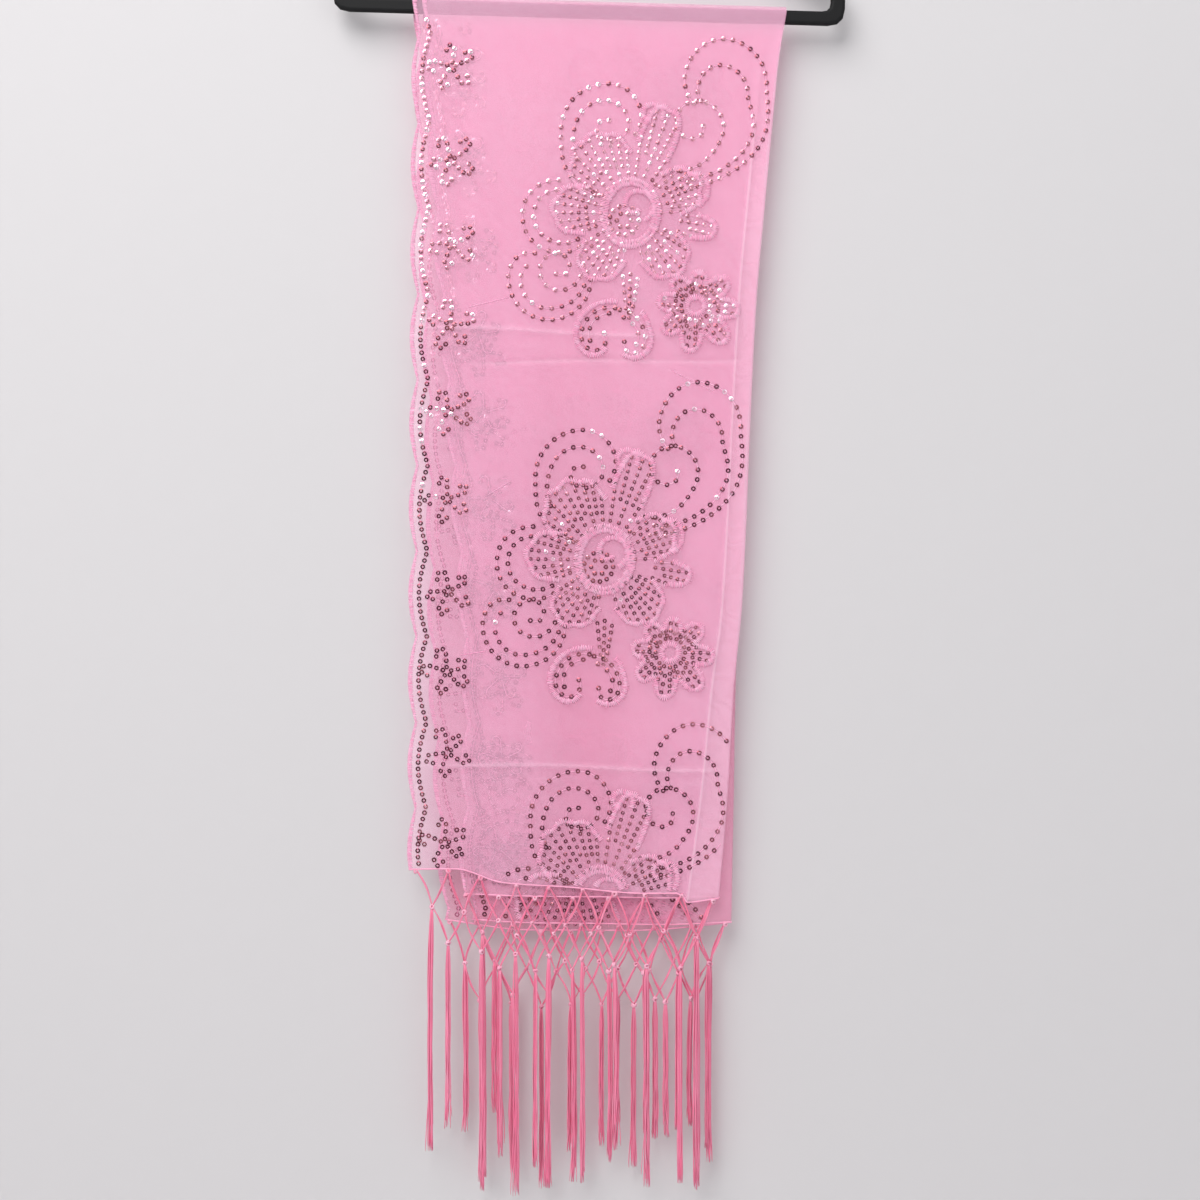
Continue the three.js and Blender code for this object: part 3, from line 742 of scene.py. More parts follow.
def hanging_rows(half):
    """Falls down one half, as a grid of rows and columns that ends on the uneven hem."""
    falls = row_falls(half)
    share = np.clip((falls - HEM_UNEVEN_FROM) / (half["length"] - HEM_UNEVEN_FROM), 0, 1)
    grid = np.zeros((len(falls), len(COLUMNS), 3))
    marks = np.zeros(grid.shape[:2])
    for i, (turn, place) in enumerate(COLUMNS):
        across = across_at(turn, place, falls)
        mix = turn / math.pi
        hem = half["outer_hem"](across) * (1 - mix) + half["inner_hem"](across) * mix
        bent = falls + share * (hem - half["length"])
        grid[:, i] = cloth_point(half, turn, across, bent)
        marks[:, i] = crease_marks(half, turn, grid[:, i, 0] / MM, bent)
    return grid, marks


def half_over_bar(over):
    """The half of the shawl that lies at an angle over the bar, from 0 in front to pi behind."""
    return HALVES["front"] if over < math.pi / 2 else HALVES["back"]


def crown_rows():
    rows = []
    for over in np.linspace(0, math.pi, CROWN_STEPS + 1):
        half = half_over_bar(over)
        row = []
        for turn, place in COLUMNS:
            across = float(across_at(turn, place, BAR_HALF_THICKNESS))
            row.append(cloth_point(half, turn, across, BAR_HALF_THICKNESS, over))
        rows.append(np.stack(row))
    return np.stack(rows)


def lengths_along(grid, axis):
    """Running length from the first row or column, which gives the cloth its own flat map."""
    step = np.linalg.norm(np.diff(grid, axis=axis), axis=2)
    start = np.zeros_like(np.take(step, [0], axis=axis))
    return np.cumsum(np.concatenate([start, step], axis=axis), axis=axis)


def make_panel():
    front, front_marks = hanging_rows(HALVES["front"])
    back, back_marks = hanging_rows(HALVES["back"])
    crown = crown_rows()
    grid = np.concatenate([front[::-1], crown, back])
    marks = np.concatenate([front_marks[::-1], np.zeros(crown.shape[:2]), back_marks])
    # Painted shade: layers further back get a higher value, which deepens their pink.
    painted_depth_shade = np.clip(0.5 + grid[..., 1] / (DEPTH_SHADE * MM), 0, 1)
    rows, columns, _ = grid.shape
    j, i = np.meshgrid(np.arange(rows - 1), np.arange(columns - 1), indexing="ij")
    corner = j * columns + i
    faces = np.stack([corner, corner + 1, corner + columns + 1, corner + columns], -1).reshape(-1, 4)
    panel = mesh_piece("organza_panel", grid, faces, ORGANZA)
    flat_map = np.stack([lengths_along(grid, 1), lengths_along(grid, 0)], -1).reshape(-1, 2)
    for label, values in (("crease", marks), ("depth", painted_depth_shade)):
        attribute = panel.data.attributes.new(label, "FLOAT", "POINT")
        attribute.data.foreach_set("value", values.astype(np.float32).ravel())
    layer = panel.data.uv_layers.new(name="Cloth")
    layer.data.foreach_set("uv", flat_map[faces.ravel()].astype(np.float32).ravel())
    shell = panel.modifiers.new("shell", "SOLIDIFY")
    shell.thickness = CLOTH_SHELL * MM
    shell.offset = 0.0
    bpy.ops.object.select_all(action="DESELECT")
    bpy.context.view_layer.objects.active = panel
    panel.select_set(True)
    bpy.ops.object.modifier_apply(modifier=shell.name)
    run = flat_map.reshape(rows, columns, 2)
    size = [round(float(run[:, -1, 0].mean()), 3), round(float(run[-1, :, 1].mean()), 3)]
    print("measured along the cloth, metres:", size, "faces:", len(panel.data.polygons))
    return panel


panel = make_panel()
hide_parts("shawl_cloth")

# %% [markdown]
# ## Edges and hems
# The long edges are satin-stitched: threads laid side by side across the scallops, so close that they
# make a band. The short ends are rolled by hand and whipped down.

# %% Satin stitches, running threads and rolled hems
BORDER_WIDTH = 3.2
STITCH_PITCH = 0.8
STITCH_RADIUS = 0.42
STITCH_LEAN = (0.0006, 0.0, 0.0008)
RING_SHARES = (0.0, 0.3, 0.7, 1.0)
RING_FULLNESS = (0.55, 1.0, 1.0, 0.55)
THREAD_SIDES = 4
POINTS_PER_STITCH = THREAD_SIDES * len(RING_SHARES)


def stitch_piece(name, starts, ends, radius, material=STITCH, seed=1):
    """Short threads from starts to ends, each a little fuller in the middle."""
    share = np.array(RING_SHARES)[None, :, None]
    paths = starts[:, None, :] * (1 - share) + ends[:, None, :] * share
    wobble = 1 + 0.25 * (uneven(np.arange(len(starts)), seed) - 0.5)
    radii = radius * MM * wobble[:, None] * np.array(RING_FULLNESS)[None]
    points, faces = closed_tubes(paths, radii, THREAD_SIDES)
    tone = np.repeat(uneven(np.arange(len(starts)), seed + 0.5), POINTS_PER_STITCH)
    return mesh_piece(name, points, faces, material, tone=tone)


def along_edge(turn, from_edge, pitch):
    """Points along one long edge of the panel, front hem to back hem, at a distance inside it."""
    hanging = {}
    for name, half in HALVES.items():
        falls = np.arange(BAR_HALF_THICKNESS, float(hem_fall(half, turn, 0.0)), pitch)
        edge, fold_start, _, _ = layer_edges(half, turn, falls)
        hanging[name] = cloth_point(half, turn, from_edge / (fold_start - edge), falls)
    over_bar = []
    for over in np.linspace(0, math.pi, 2 * CROWN_STEPS)[1:-1]:
        half = half_over_bar(over)
        edge, fold_start, _, _ = layer_edges(half, turn, BAR_HALF_THICKNESS)
        across = from_edge / (fold_start - edge)
        over_bar.append(cloth_point(half, turn, across, BAR_HALF_THICKNESS, over))
    return np.concatenate([hanging["front"][::-1], np.array(over_bar), hanging["back"]])


def make_borders():
    starts = []
    ends = []
    for turn in (0.0, math.pi):
        starts.append(along_edge(turn, 0.0, STITCH_PITCH))
        ends.append(along_edge(turn, BORDER_WIDTH, STITCH_PITCH))
    starts = np.concatenate(starts)
    ends = np.concatenate(ends)
    lean = uneven(np.arange(len(starts)), 5)[:, None] - 0.5
    ends = ends + lean * np.array(STITCH_LEAN)
    return stitch_piece("border_stitches", starts, ends, STITCH_RADIUS)


def hem_line(half, drop):
    rows = []
    for turn, place in COLUMNS:
        across = across_at(turn, place, half["length"])
        mix = turn / math.pi
        fall = half["outer_hem"](across) * (1 - mix) + half["inner_hem"](across) * mix
        rows.append(cloth_point(half, turn, across, fall + drop))
    return np.array(rows)


HEM_ROLL = {"rise": 0.6, "radius": 0.62, "wave": 0.18, "wave_step": 2.1, "sides": 8, "tone": 0.4}


def make_rolled_hem(name, half):
    path = hem_line(half, -HEM_ROLL["rise"])
    wave = 1 + HEM_ROLL["wave"] * np.sin(np.arange(len(path)) * HEM_ROLL["wave_step"])
    radii = np.full(len(path), HEM_ROLL["radius"] * MM) * wave
    points, faces = closed_tubes(path[None], radii[None], HEM_ROLL["sides"], across=(0.0, 0.0, 1.0))
    tone = np.full(len(points), HEM_ROLL["tone"])
    return mesh_piece(name, points, faces, HEM_THREAD, tone=tone)


borders = make_borders()
hem_front = make_rolled_hem("rolled_hem_front", HALVES["front"])
hem_back = make_rolled_hem("rolled_hem_back", HALVES["back"])
print("border stitches:", len(borders.data.vertices) // POINTS_PER_STITCH)

# %% [markdown]
# ## The pattern of the embroidery
# Each flower is drawn from a few kinds of stroke. A hook is a curve round a centre whose radius swells
# and shrinks by a short table of angles. A fan is a set of rays inside a petal's outline. A blossom is
# a ring of small petals. Everything is in millimetres from the flower's own centre, +z up.

# %% Strokes of the flower
HOOK_STEPS = 240
SHORT_RAY = 0.35
OUTLINE_PAST_TIP = 3.2
OUTLINE_STEPS = 70
PETAL_SIDE = 1.12
TIP = {"bend": 1.25, "roundness": 0.55, "lobe": 0.09, "between": 0.05, "lean": 0.08,
       "least": 0.18, "most": 1.1}


def polar(centre, radius, angle):
    """Points round a centre by radius and angle."""
    return np.stack([centre[0] + radius * np.cos(angle), centre[1] + radius * np.sin(angle)], -1)


def hook(centre, knots, pitch):
    """A curve round a centre by (angle in degrees, radius) knots, as points a pitch apart."""
    table = [{"step": k, "angle": a, "radius": r} for k, (a, r) in enumerate(knots)]
    step = np.linspace(0, len(knots) - 1, HOOK_STEPS)
    angle = np.radians(curve_of(table, "step", "angle")(step))
    return evenly(polar(centre, curve_of(table, "step", "radius")(step), angle), pitch)


def evenly(path, pitch):
    run = np.concatenate([[0.0], np.cumsum(np.linalg.norm(np.diff(path, axis=0), axis=1))])
    count = max(2, int(run[-1] / pitch) + 1)
    at = np.linspace(0, run[-1], count)
    return np.stack([np.interp(at, run, path[:, 0]), np.interp(at, run, path[:, 1])], -1)


def fan(centre, direction, half_spread, near, far, rays, lobes):
    """Rays of a petal from near to its wavy tip, and the outline round the tip."""
    place = np.linspace(-1, 1, rays)
    turn = np.radians(direction + half_spread * place)
    reach = near + (far - near) * tip_share(place, lobes, direction)
    inside = []
    for k, (angle, end) in enumerate(zip(turn, reach)):
        start = near if k % 2 == 0 else near + SHORT_RAY * (end - near)
        inside.append(polar(centre, np.array([start, end]), angle))
    fine = np.linspace(-PETAL_SIDE, PETAL_SIDE, OUTLINE_STEPS)
    angle = np.radians(direction + half_spread * fine)
    radius = near + (far - near) * tip_share(fine, lobes, direction) + OUTLINE_PAST_TIP
    return inside, polar(centre, radius, angle)


def tip_share(place, lobes, direction):
    """How far a petal reaches at each place across it: rounded, with a few lobes, none quite alike."""
    bend = np.clip(place, -PETAL_SIDE, PETAL_SIDE) * TIP["bend"]
    round_tip = np.cos(bend) ** TIP["roundness"]
    lobed = TIP["lobe"] * np.abs(np.sin(0.5 * np.pi * lobes * (place + 1))) - TIP["between"]
    lean = TIP["lean"] * place * math.sin(direction)
    return np.clip(round_tip + lobed + lean, TIP["least"], TIP["most"])


def ring(centre, rx, rz, steps=60):
    angle = np.linspace(0, 2 * np.pi, steps)
    return np.stack([centre[0] + rx * np.cos(angle), centre[1] + rz * np.sin(angle)], -1)


SCROLLS = [
    {"centre": (72, 100), "knots": [(-110, 90), (-62, 62), (0, 37), (80, 39), (150, 32), (215, 27)]},
    {"centre": (70, 92), "knots": [(-112, 76), (-55, 46), (0, 24), (80, 25), (150, 19), (200, 15)]},
    {"centre": (-20, 62), "knots": [(232, 48), (180, 38), (90, 38), (35, 32), (-8, 23)]},
    {"centre": (-20, 64), "knots": [
        (226, 36), (180, 27), (90, 22), (0, 17), (-90, 11), (-180, 9), (-280, 6)]},
    {"centre": (52, 66), "knots": [
        (-118, 42), (-40, 24), (30, 22), (110, 20), (190, 15), (280, 10), (360, 6)]},
    {"centre": (-60, -8), "knots": [(88, 29), (135, 29), (180, 28), (240, 29), (306, 32)]},
    {"centre": (-60, -8), "knots": [(92, 21), (135, 20), (180, 19), (240, 20), (312, 26)]},
    {"centre": (-62, -56), "knots": [
        (-8, 31), (-60, 35), (-120, 38), (-170, 37), (-205, 33), (-228, 23)]},
    {"centre": (-62, -56), "knots": [(-20, 27), (-70, 27), (-120, 29), (-170, 27), (-196, 23)]},
    {"centre": (-58, -51), "knots": [(5, 20), (-90, 18), (-180, 15), (-270, 12), (-360, 9), (-470, 5)]},
    {"centre": (-24, -106), "knots": [
        (60, 26), (100, 20), (145, 15), (200, 14), (250, 13), (300, 9), (380, 5)]},
    {"centre": (-24, -106), "knots": [(66, 20), (100, 14), (150, 9), (210, 8)]},
    {"centre": (3, -110), "knots": [
        (112, 27), (75, 18), (30, 12), (-20, 11), (-70, 11), (-120, 9), (-170, 6)]},
    {"centre": (3, -110), "knots": [(110, 20), (75, 11), (20, 6), (-40, 5)]},
]
PETALS = [
    {"direction": 124, "half_spread": 30, "near": 27, "far": 68, "rays": 10, "lobes": 4},
    {"direction": 70, "half_spread": 13, "near": 32, "far": 88, "rays": 5, "lobes": 2},
    {"direction": 25, "half_spread": 24, "near": 25, "far": 58, "rays": 8, "lobes": 3},
    {"direction": -12, "half_spread": 9, "near": 42, "far": 68, "rays": 4, "lobes": 2},
    {"direction": -50, "half_spread": 24, "near": 26, "far": 60, "rays": 8, "lobes": 3},
    {"direction": -122, "half_spread": 24, "near": 26, "far": 58, "rays": 8, "lobes": 3},
    {"direction": 176, "half_spread": 25, "near": 24, "far": 60, "rays": 8, "lobes": 3},
]
HEART = (0, -6)
BLOSSOM = (55, -82)
BLOSSOM_PETALS = [(84, 24), (40, 29), (-6, 31), (-50, 34), (-96, 33), (-142, 29), (172, 27), (128, 25)]
SCROLL_PITCH = 8.0
FILL_PITCH = 5.4
BLOSSOM_PITCH = 4.8
BLOSSOM_FAN = {"half_spread": 18, "near": 12, "rays": 4, "lobes": 1}
BLOSSOM_EYE = 7
STEM_ROWS = [
    {"x": -5, "top": -58, "low": -84},
    {"x": 1, "top": -56, "low": -92},
    {"x": 7, "top": -60, "low": -88},
]
STEM_NARROWS = 0.4
HEART_RINGS = [(20, 24), (23.5, 27.5)]
EYE = (-5, -12)
EYE_RADII = (6, 12)
THREAD_STEP = 3.0
OUTLINE_STEP = 1.0
REDNESS = {"scroll": 0.0, "petal": 1.0, "eye": 0.2, "blossom": 0.7, "stem": 0.8,
           "edge": 0.0, "sprig": 0.05, "red_sprig": 0.3}
LEAF_EDGES = [
    {"centre": (-24, -106), "knots": [(62, 31), (100, 25), (145, 20), (200, 18), (250, 17), (300, 12)]},
    {"centre": (3, -110), "knots": [(72, 24), (30, 17), (-20, 16), (-70, 15), (-120, 13)]},
]
SATIN_CURLS = [
    {"centre": (5, 0), "knots": [(-60, 14), (30, 13), (120, 11), (210, 8), (300, 4)]},
    {"centre": (50, 16), "knots": [(-70, 17), (0, 13), (70, 11), (140, 9), (210, 5)]},
    {"centre": (16, 74), "knots": [(-20, 9), (40, 10), (110, 9), (180, 7), (250, 4)]},
]


def flower():
    """Strokes of one flower: sequin places with their redness, running threads and satin outlines."""
    places = []
    threads = []
    outlines = []
    for row in SCROLLS:
        places.append((hook(row["centre"], row["knots"], SCROLL_PITCH), REDNESS["scroll"]))
        threads.append(hook(row["centre"], row["knots"], THREAD_STEP))
    for row in PETALS:
        rays, outline = fan(HEART, **row)
        outlines.append(outline)
        for ray in rays:
            places.append((evenly(ray, FILL_PITCH), REDNESS["petal"]))
            threads.append(evenly(ray, THREAD_STEP))
    outlines += [ring(HEART, rx, rz) for rx, rz in HEART_RINGS]
    for radius in EYE_RADII:
        places.append((evenly(ring(EYE, radius, radius), FILL_PITCH)[:-1], REDNESS["eye"]))
    for direction, reach in BLOSSOM_PETALS:
        rays, outline = fan(BLOSSOM, direction, far=reach, **BLOSSOM_FAN)
        outlines.append(outline)
        for ray in rays:
            places.append((evenly(ray, BLOSSOM_PITCH), REDNESS["blossom"]))
            threads.append(evenly(ray, THREAD_STEP))
    outlines.append(ring(BLOSSOM, BLOSSOM_EYE, BLOSSOM_EYE, 30))
    for row in STEM_ROWS:
        line = np.array([[row["x"], row["top"]], [STEM_NARROWS * row["x"], row["low"]]], float)
        places.append((evenly(line, FILL_PITCH), REDNESS["stem"]))
        threads.append(evenly(line, THREAD_STEP))
    for row in LEAF_EDGES + SATIN_CURLS:
        outlines.append(hook(row["centre"], row["knots"], OUTLINE_STEP))
    return places, threads, outlines


SPRIG = {"arms": 5, "turned": 34, "loose": 18, "start": 3.6, "length": 12.5, "longer": 4,
         "curl": 3.2, "wider": 1.2}
SPRIG_STRAIGHT_STEPS = 6
SPRIG_CURL = np.linspace(0.2, 3.6, 12)


def sprig(seed):
    """Five short arms round a small centre, each with its end curled the same way."""
    arms = []
    start = 90 + SPRIG["turned"] * (float(uneven(seed, 2)) - 0.5)
    for k in range(SPRIG["arms"]):
        number = seed * SPRIG["arms"] + k
        loose = SPRIG["loose"] * (float(uneven(number, 6)) - 0.5)
        angle = math.radians(start + 360 / SPRIG["arms"] * k + loose)
        along = np.array([math.cos(angle), math.sin(angle)])
        aside = np.array([-along[1], along[0]])
        length = SPRIG["length"] + SPRIG["longer"] * float(uneven(number, 3))
        curl = SPRIG["curl"] + SPRIG["wider"] * float(uneven(number, 4))
        straight = [along * r for r in np.linspace(SPRIG["start"], length, SPRIG_STRAIGHT_STEPS)]
        bend = [
            along * (length + curl * math.sin(a)) + aside * curl * (1 - math.cos(a))
            for a in SPRIG_CURL
        ]
        arms.append(np.array(straight + bend))
    return arms


FLOWER_PLACES, FLOWER_THREADS, FLOWER_OUTLINES = flower()
print("sequins in one flower:", sum(len(path) for path, _ in FLOWER_PLACES))

# %% [markdown]
# ## Laying the pattern on the cloth
# The two outer layers carry the big flowers. On the inner ones they would be hidden, so there is only
# the lowest part of one, which shows under the front hem. All four layers carry the line of sequins
# that follows each scalloped edge, and the sprigs beside it. The flowers on the back are upside down,
# since the panel runs on over the bar. What would fall past a hem is left off.

# %% Places for every sequin, thread and satin outline
FLOWERS = {
    "front_outer": [(28, 166), (7, 449), (3, 728)],
    "back_outer": [(20, 157), (9, 440), (6, 723)],
    "back_inner": [(-16, 700)],
}
FLOWER_FROM_EDGE = 52.0
EDGE_LINE = 9.0
EDGE_LINE_PITCH = 5.25
SPRIG_FROM_EDGE = 30.0
SPRIG_PITCH = 5.0
NEAR_BAR = 14.0
NEAR_HEM = 3.0
NEAR_EDGE = 5.0
NEAR_FOLD = 1.0
FLOWER_LEAN = 0.02
EDGE_LINE_HEM = {"across": 0.03, "gap": 5.0}
EDGE_LINE_BAR_GAP = 4.0
EDGE_LINE_STEP = 0.5
EDGE_LINE_SWING = 1.1
SPRIG_COUNT = 12
SPRIG_RISE = 6.0
SPRIG_STRAY = {"fall": 8, "x": 3}


def inside_cloth(layer, path):
    """Which points of a path lie on a layer, clear of its hem, edge and fold and of the bar."""
    half = HALVES[layer["half"]]
    x, fall = path[:, 0], path[:, 1]
    edge, fold_start, _, _ = layer_edges(half, layer["turn"], fall)
    across = np.clip((x - edge) / (fold_start - edge), 0, 1)
    low = hem_fall(half, layer["turn"], across) - NEAR_HEM
    high = np.where(x > edge + FLOWER_FROM_EDGE, layer["flowers_from"], NEAR_BAR)
    return (fall > high) & (fall < low) & (x > edge + NEAR_EDGE) & (x < fold_start - NEAR_FOLD)


def laid(layer, centre, path):
    """A stroke's points as (x, fall) on a layer; on the back the panel runs upwards."""
    side = HALVES[layer["half"]]["side"]
    lean = FLOWER_LEAN * side
    x = centre[0] + path[:, 0] + lean * path[:, 1]
    fall = centre[1] - side * path[:, 1]
    return np.stack([x, fall], -1)


def edge_line(layer):
    half = HALVES[layer["half"]]
    low = float(hem_fall(half, layer["turn"], EDGE_LINE_HEM["across"])) - EDGE_LINE_HEM["gap"]
    fall = np.arange(NEAR_BAR + EDGE_LINE_BAR_GAP, low, EDGE_LINE_STEP)
    edge, _, _, _ = layer_edges(half, layer["turn"], fall)
    x = edge + EDGE_LINE + EDGE_LINE_SWING * scallop(half, fall)
    return np.stack([x, fall], -1)


def sprig_centres(layer, number):
    half = HALVES[layer["half"]]
    phase = SCALLOP_START * half["side"]
    count = np.arange(SPRIG_COUNT)
    fall = (phase + SCALLOP_PITCH * 0.5) % SCALLOP_PITCH + SCALLOP_PITCH * count - SPRIG_RISE
    fall = fall + SPRIG_STRAY["fall"] * (uneven(count, number + 3) - 0.5)
    edge, _, _, _ = layer_edges(half, layer["turn"], fall)
    x = edge + SPRIG_FROM_EDGE + SPRIG_STRAY["x"] * (uneven(count, number + 9) - 0.5)
    return np.stack([x, fall], -1)


def layer_strokes(layer, number):
    """Every stroke on a layer, as lists of (x, fall) paths with the sequins' redness."""
    dots = [(evenly(edge_line(layer), EDGE_LINE_PITCH), REDNESS["edge"])]
    threads = [edge_line(layer)[::6]]
    outlines = []
    for k, centre in enumerate(sprig_centres(layer, number)):
        for arm in sprig(10 * number + k):
            path = laid(layer, centre, arm)
            red = REDNESS["red_sprig"] if k % 3 == 2 else REDNESS["sprig"]
            dots.append((evenly(path, SPRIG_PITCH), red))
            threads.append(path[::3])
    for centre in FLOWERS.get(layer["name"], []):
        for path, red in FLOWER_PLACES:
            dots.append((laid(layer, centre, path), red))
        threads += [laid(layer, centre, path) for path in FLOWER_THREADS]
        outlines += [laid(layer, centre, path) for path in FLOWER_OUTLINES]
    return dots, threads, outlines


# %% One sequin, modelled once: a flat ring of eight sides with a sloped rim
SEQUIN_MIDDLE = 1.32
SEQUIN_BAND = 0.72
SEQUIN_FLATNESS = 0.4


def model_sequin():
    bpy.ops.mesh.primitive_torus_add(
        major_segments=8, major_radius=SEQUIN_MIDDLE * MM,
        minor_segments=3, minor_radius=SEQUIN_BAND * MM,
    )
    shape = bpy.context.object
    bpy.ops.object.mode_set(mode="EDIT")
    bpy.ops.mesh.select_all(action="SELECT")
    bpy.ops.transform.resize(value=(1, 1, SEQUIN_FLATNESS), center_override=(0, 0, 0))
    bpy.ops.object.mode_set(mode="OBJECT")
    return take_arrays(shape)


def take_arrays(shape):
    """A shape's points and four-sided faces as arrays; the shape itself is taken away."""
    mesh = shape.data
    points = np.array([vertex.co[:] for vertex in mesh.vertices])
    points = points @ np.array(shape.matrix_world.to_3x3()).T + np.array(shape.matrix_world.translation)
    faces = np.array([polygon.vertices[:] for polygon in mesh.polygons])
    bpy.data.objects.remove(shape)
    bpy.data.meshes.remove(mesh)
    return points, faces


SEQUIN_POINTS, SEQUIN_FACES = model_sequin()


def facing(normals, spin):
    """Each copy's three axes: its own normal, turned about it by spin."""
    normals = normals / np.linalg.norm(normals, axis=1, keepdims=True)
    first = np.cross(np.array([0.0, 0.0, 1.0]), normals)
    first /= np.linalg.norm(first, axis=1, keepdims=True)
    second = np.cross(normals, first)
    c, s = np.cos(spin)[:, None], np.sin(spin)[:, None]
    return np.stack([first * c + second * s, second * c - first * s, normals], -1)


# Painted glints: patches where sequins are painted pale as the lamp's reflection, each by its centre x
# and fall, its width and height, and the share of sequins in it.
PAINTED_GLINTS = [
    {"x": 36, "fall": 238, "wide": 13, "tall": 46, "share": 0.85},
    {"x": -136, "fall": 150, "wide": 26, "tall": 125, "share": 0.42},
    {"x": 104, "fall": 256, "wide": 15, "tall": 20, "share": 0.5},
    {"x": 20, "fall": 62, "wide": 60, "tall": 40, "share": 0.35},
    {"x": 6, "fall": 345, "wide": 9, "tall": 24, "share": 0.8},
    {"x": 94, "fall": 330, "wide": 12, "tall": 20, "share": 0.7},
    {"x": -38, "fall": 180, "wide": 10, "tall": 14, "share": 0.6},
    {"x": -136, "fall": 342, "wide": 16, "tall": 12, "share": 0.6},
]


# Painted light on the sequins: a few stray painted glints high up and none low down, and a film tone
# that is painted paler above and darker below.
STRAY_PAINTED_GLINTS = {"share": 0.05, "from": 300, "none_by": 620}
TONE = {"high": 0.4, "darker": 0.4, "from": 200, "to": 330, "red": 0.12, "random": 0.4, "least": 0.2}
TONE_PATCH = {"size": 0.2, "x": (19, 37), "fall": (31, 23)}
FULL_TURN = 6.28
SEQUIN_LIFT = 0.55
SEQUIN_TILT = 0.34
SEQUIN_SIZE = {"red": 0.18, "random": 0.1}


def sequin_tone_with_painted_glints(x, fall, red, count, seed):
    """From 0, a painted glint, to 1, a dark plum film; painted glints lie in patches where the lamp is
    mirrored, most of them high up.
    """
    step = np.arange(count)
    high = 1 - smooth_step(fall, STRAY_PAINTED_GLINTS["from"], STRAY_PAINTED_GLINTS["none_by"])
    share = STRAY_PAINTED_GLINTS["share"] * high
    for row in PAINTED_GLINTS:
        away = ((x - row["x"]) / row["wide"]) ** 2 + ((fall - row["fall"]) / row["tall"]) ** 2
        share = share + row["share"] * np.exp(-away)
    # Painted reflection: the film is painted paler high up, where sequins mirror the lamp, and darker
    # lower down.
    painted_height_reflection = TONE["high"] + TONE["darker"] * smooth_step(fall, TONE["from"], TONE["to"])
    (x_one, x_two), (fall_one, fall_two) = TONE_PATCH["x"], TONE_PATCH["fall"]
    patch = np.sin(x / x_one + fall / fall_one) * np.sin(x / x_two - fall / fall_two)
    scatter = TONE["random"] * (uneven(step, seed + 7) - 0.5)
    tone = painted_height_reflection - TONE["red"] * red + TONE_PATCH["size"] * patch + scatter
    film = np.maximum(tone, TONE["least"])
    return np.clip(np.where(uneven(step, seed) < share, 0.0, film), 0, 1)


def make_sequins(layer, number, dots):
    xs, falls, reds = [], [], []
    for path, red in dots:
        keep = path[inside_cloth(layer, path)]
        xs.append(keep[:, 0])
        falls.append(keep[:, 1])
        reds.append(np.full(len(keep), red))
    x, fall, red = np.concatenate(xs), np.concatenate(falls), np.concatenate(reds)
    step = np.arange(len(x))
    places = on_layer(layer, x, fall, SEQUIN_LIFT)
    tilt_x = SEQUIN_TILT * (uneven(step, number + 20) - 0.5)
    tilt_z = SEQUIN_TILT * (uneven(step, number + 30) - 0.5)
    normals = np.stack([tilt_x, np.full(len(x), float(layer["face"])), tilt_z], -1)
    turns = facing(normals, FULL_TURN * uneven(step, number + 40))
    size = 1 - SEQUIN_SIZE["red"] * red + SEQUIN_SIZE["random"] * (uneven(step, number + 50) - 0.5)
    points, faces = copies(SEQUIN_POINTS, SEQUIN_FACES, places, turns * size[:, None, None])
    tone = np.repeat(sequin_tone_with_painted_glints(x, fall, red, len(x), number), len(SEQUIN_POINTS))
    name = "sequins_" + layer["name"]
    return mesh_piece(name, points, faces, SEQUIN, tone=tone, smooth=False)


# %% Threads that run between the sequins, and the satin outlines
RUN_RADIUS = 0.28
RUN_LIFT = 0.3
SATIN_PITCH = 1.3
SATIN_REACH = 2.1
SATIN_SHARE = {"least": 0.75, "more": 0.6}
SATIN_LEAN = 0.5
SATIN_RADIUS = 0.56
SATIN_LIFT = 0.5
SEED_FROM_PLACE = 1000
SEEDS = 997
JUMP_STEP = 4.0
JUMPS = [
    [(-104, 249), (-72, 241)],
    [(-111, 533), (-91, 530)],
    [(62, 301), (96, 318)],
    [(-88, 402), (-70, 391)],
]


def stretches(path, keep):
    """The stretches of a path that lie on the cloth, of two points or more."""
    breaks = np.flatnonzero(np.diff(keep.astype(int))) + 1
    parts = zip(np.split(path, breaks), np.split(keep, breaks))
    return [part for part, on_cloth in parts if on_cloth[0] and len(part) > 1]


def make_running(layer, number, threads):
    """The thin threads of a layer in one mesh, each stretch a closed tube of its own."""
    points, faces, tones = [], [], []
    for path in threads:
        for stretch in stretches(path, inside_cloth(layer, path)):
            line = on_layer(layer, stretch[:, 0], stretch[:, 1], RUN_LIFT)[None]
            tube, quads = closed_tubes(line, np.full(line.shape[:2], RUN_RADIUS * MM), THREAD_SIDES)
            faces.append(quads + sum(map(len, points)))
            tones.append(np.full(len(tube), float(uneven(len(points), number))))
            points.append(tube)
    points, faces, tone = np.concatenate(points), np.concatenate(faces), np.concatenate(tones)
    name = "running_threads_" + layer["name"]
    return mesh_piece(name, points, faces, STITCH, tone=tone)


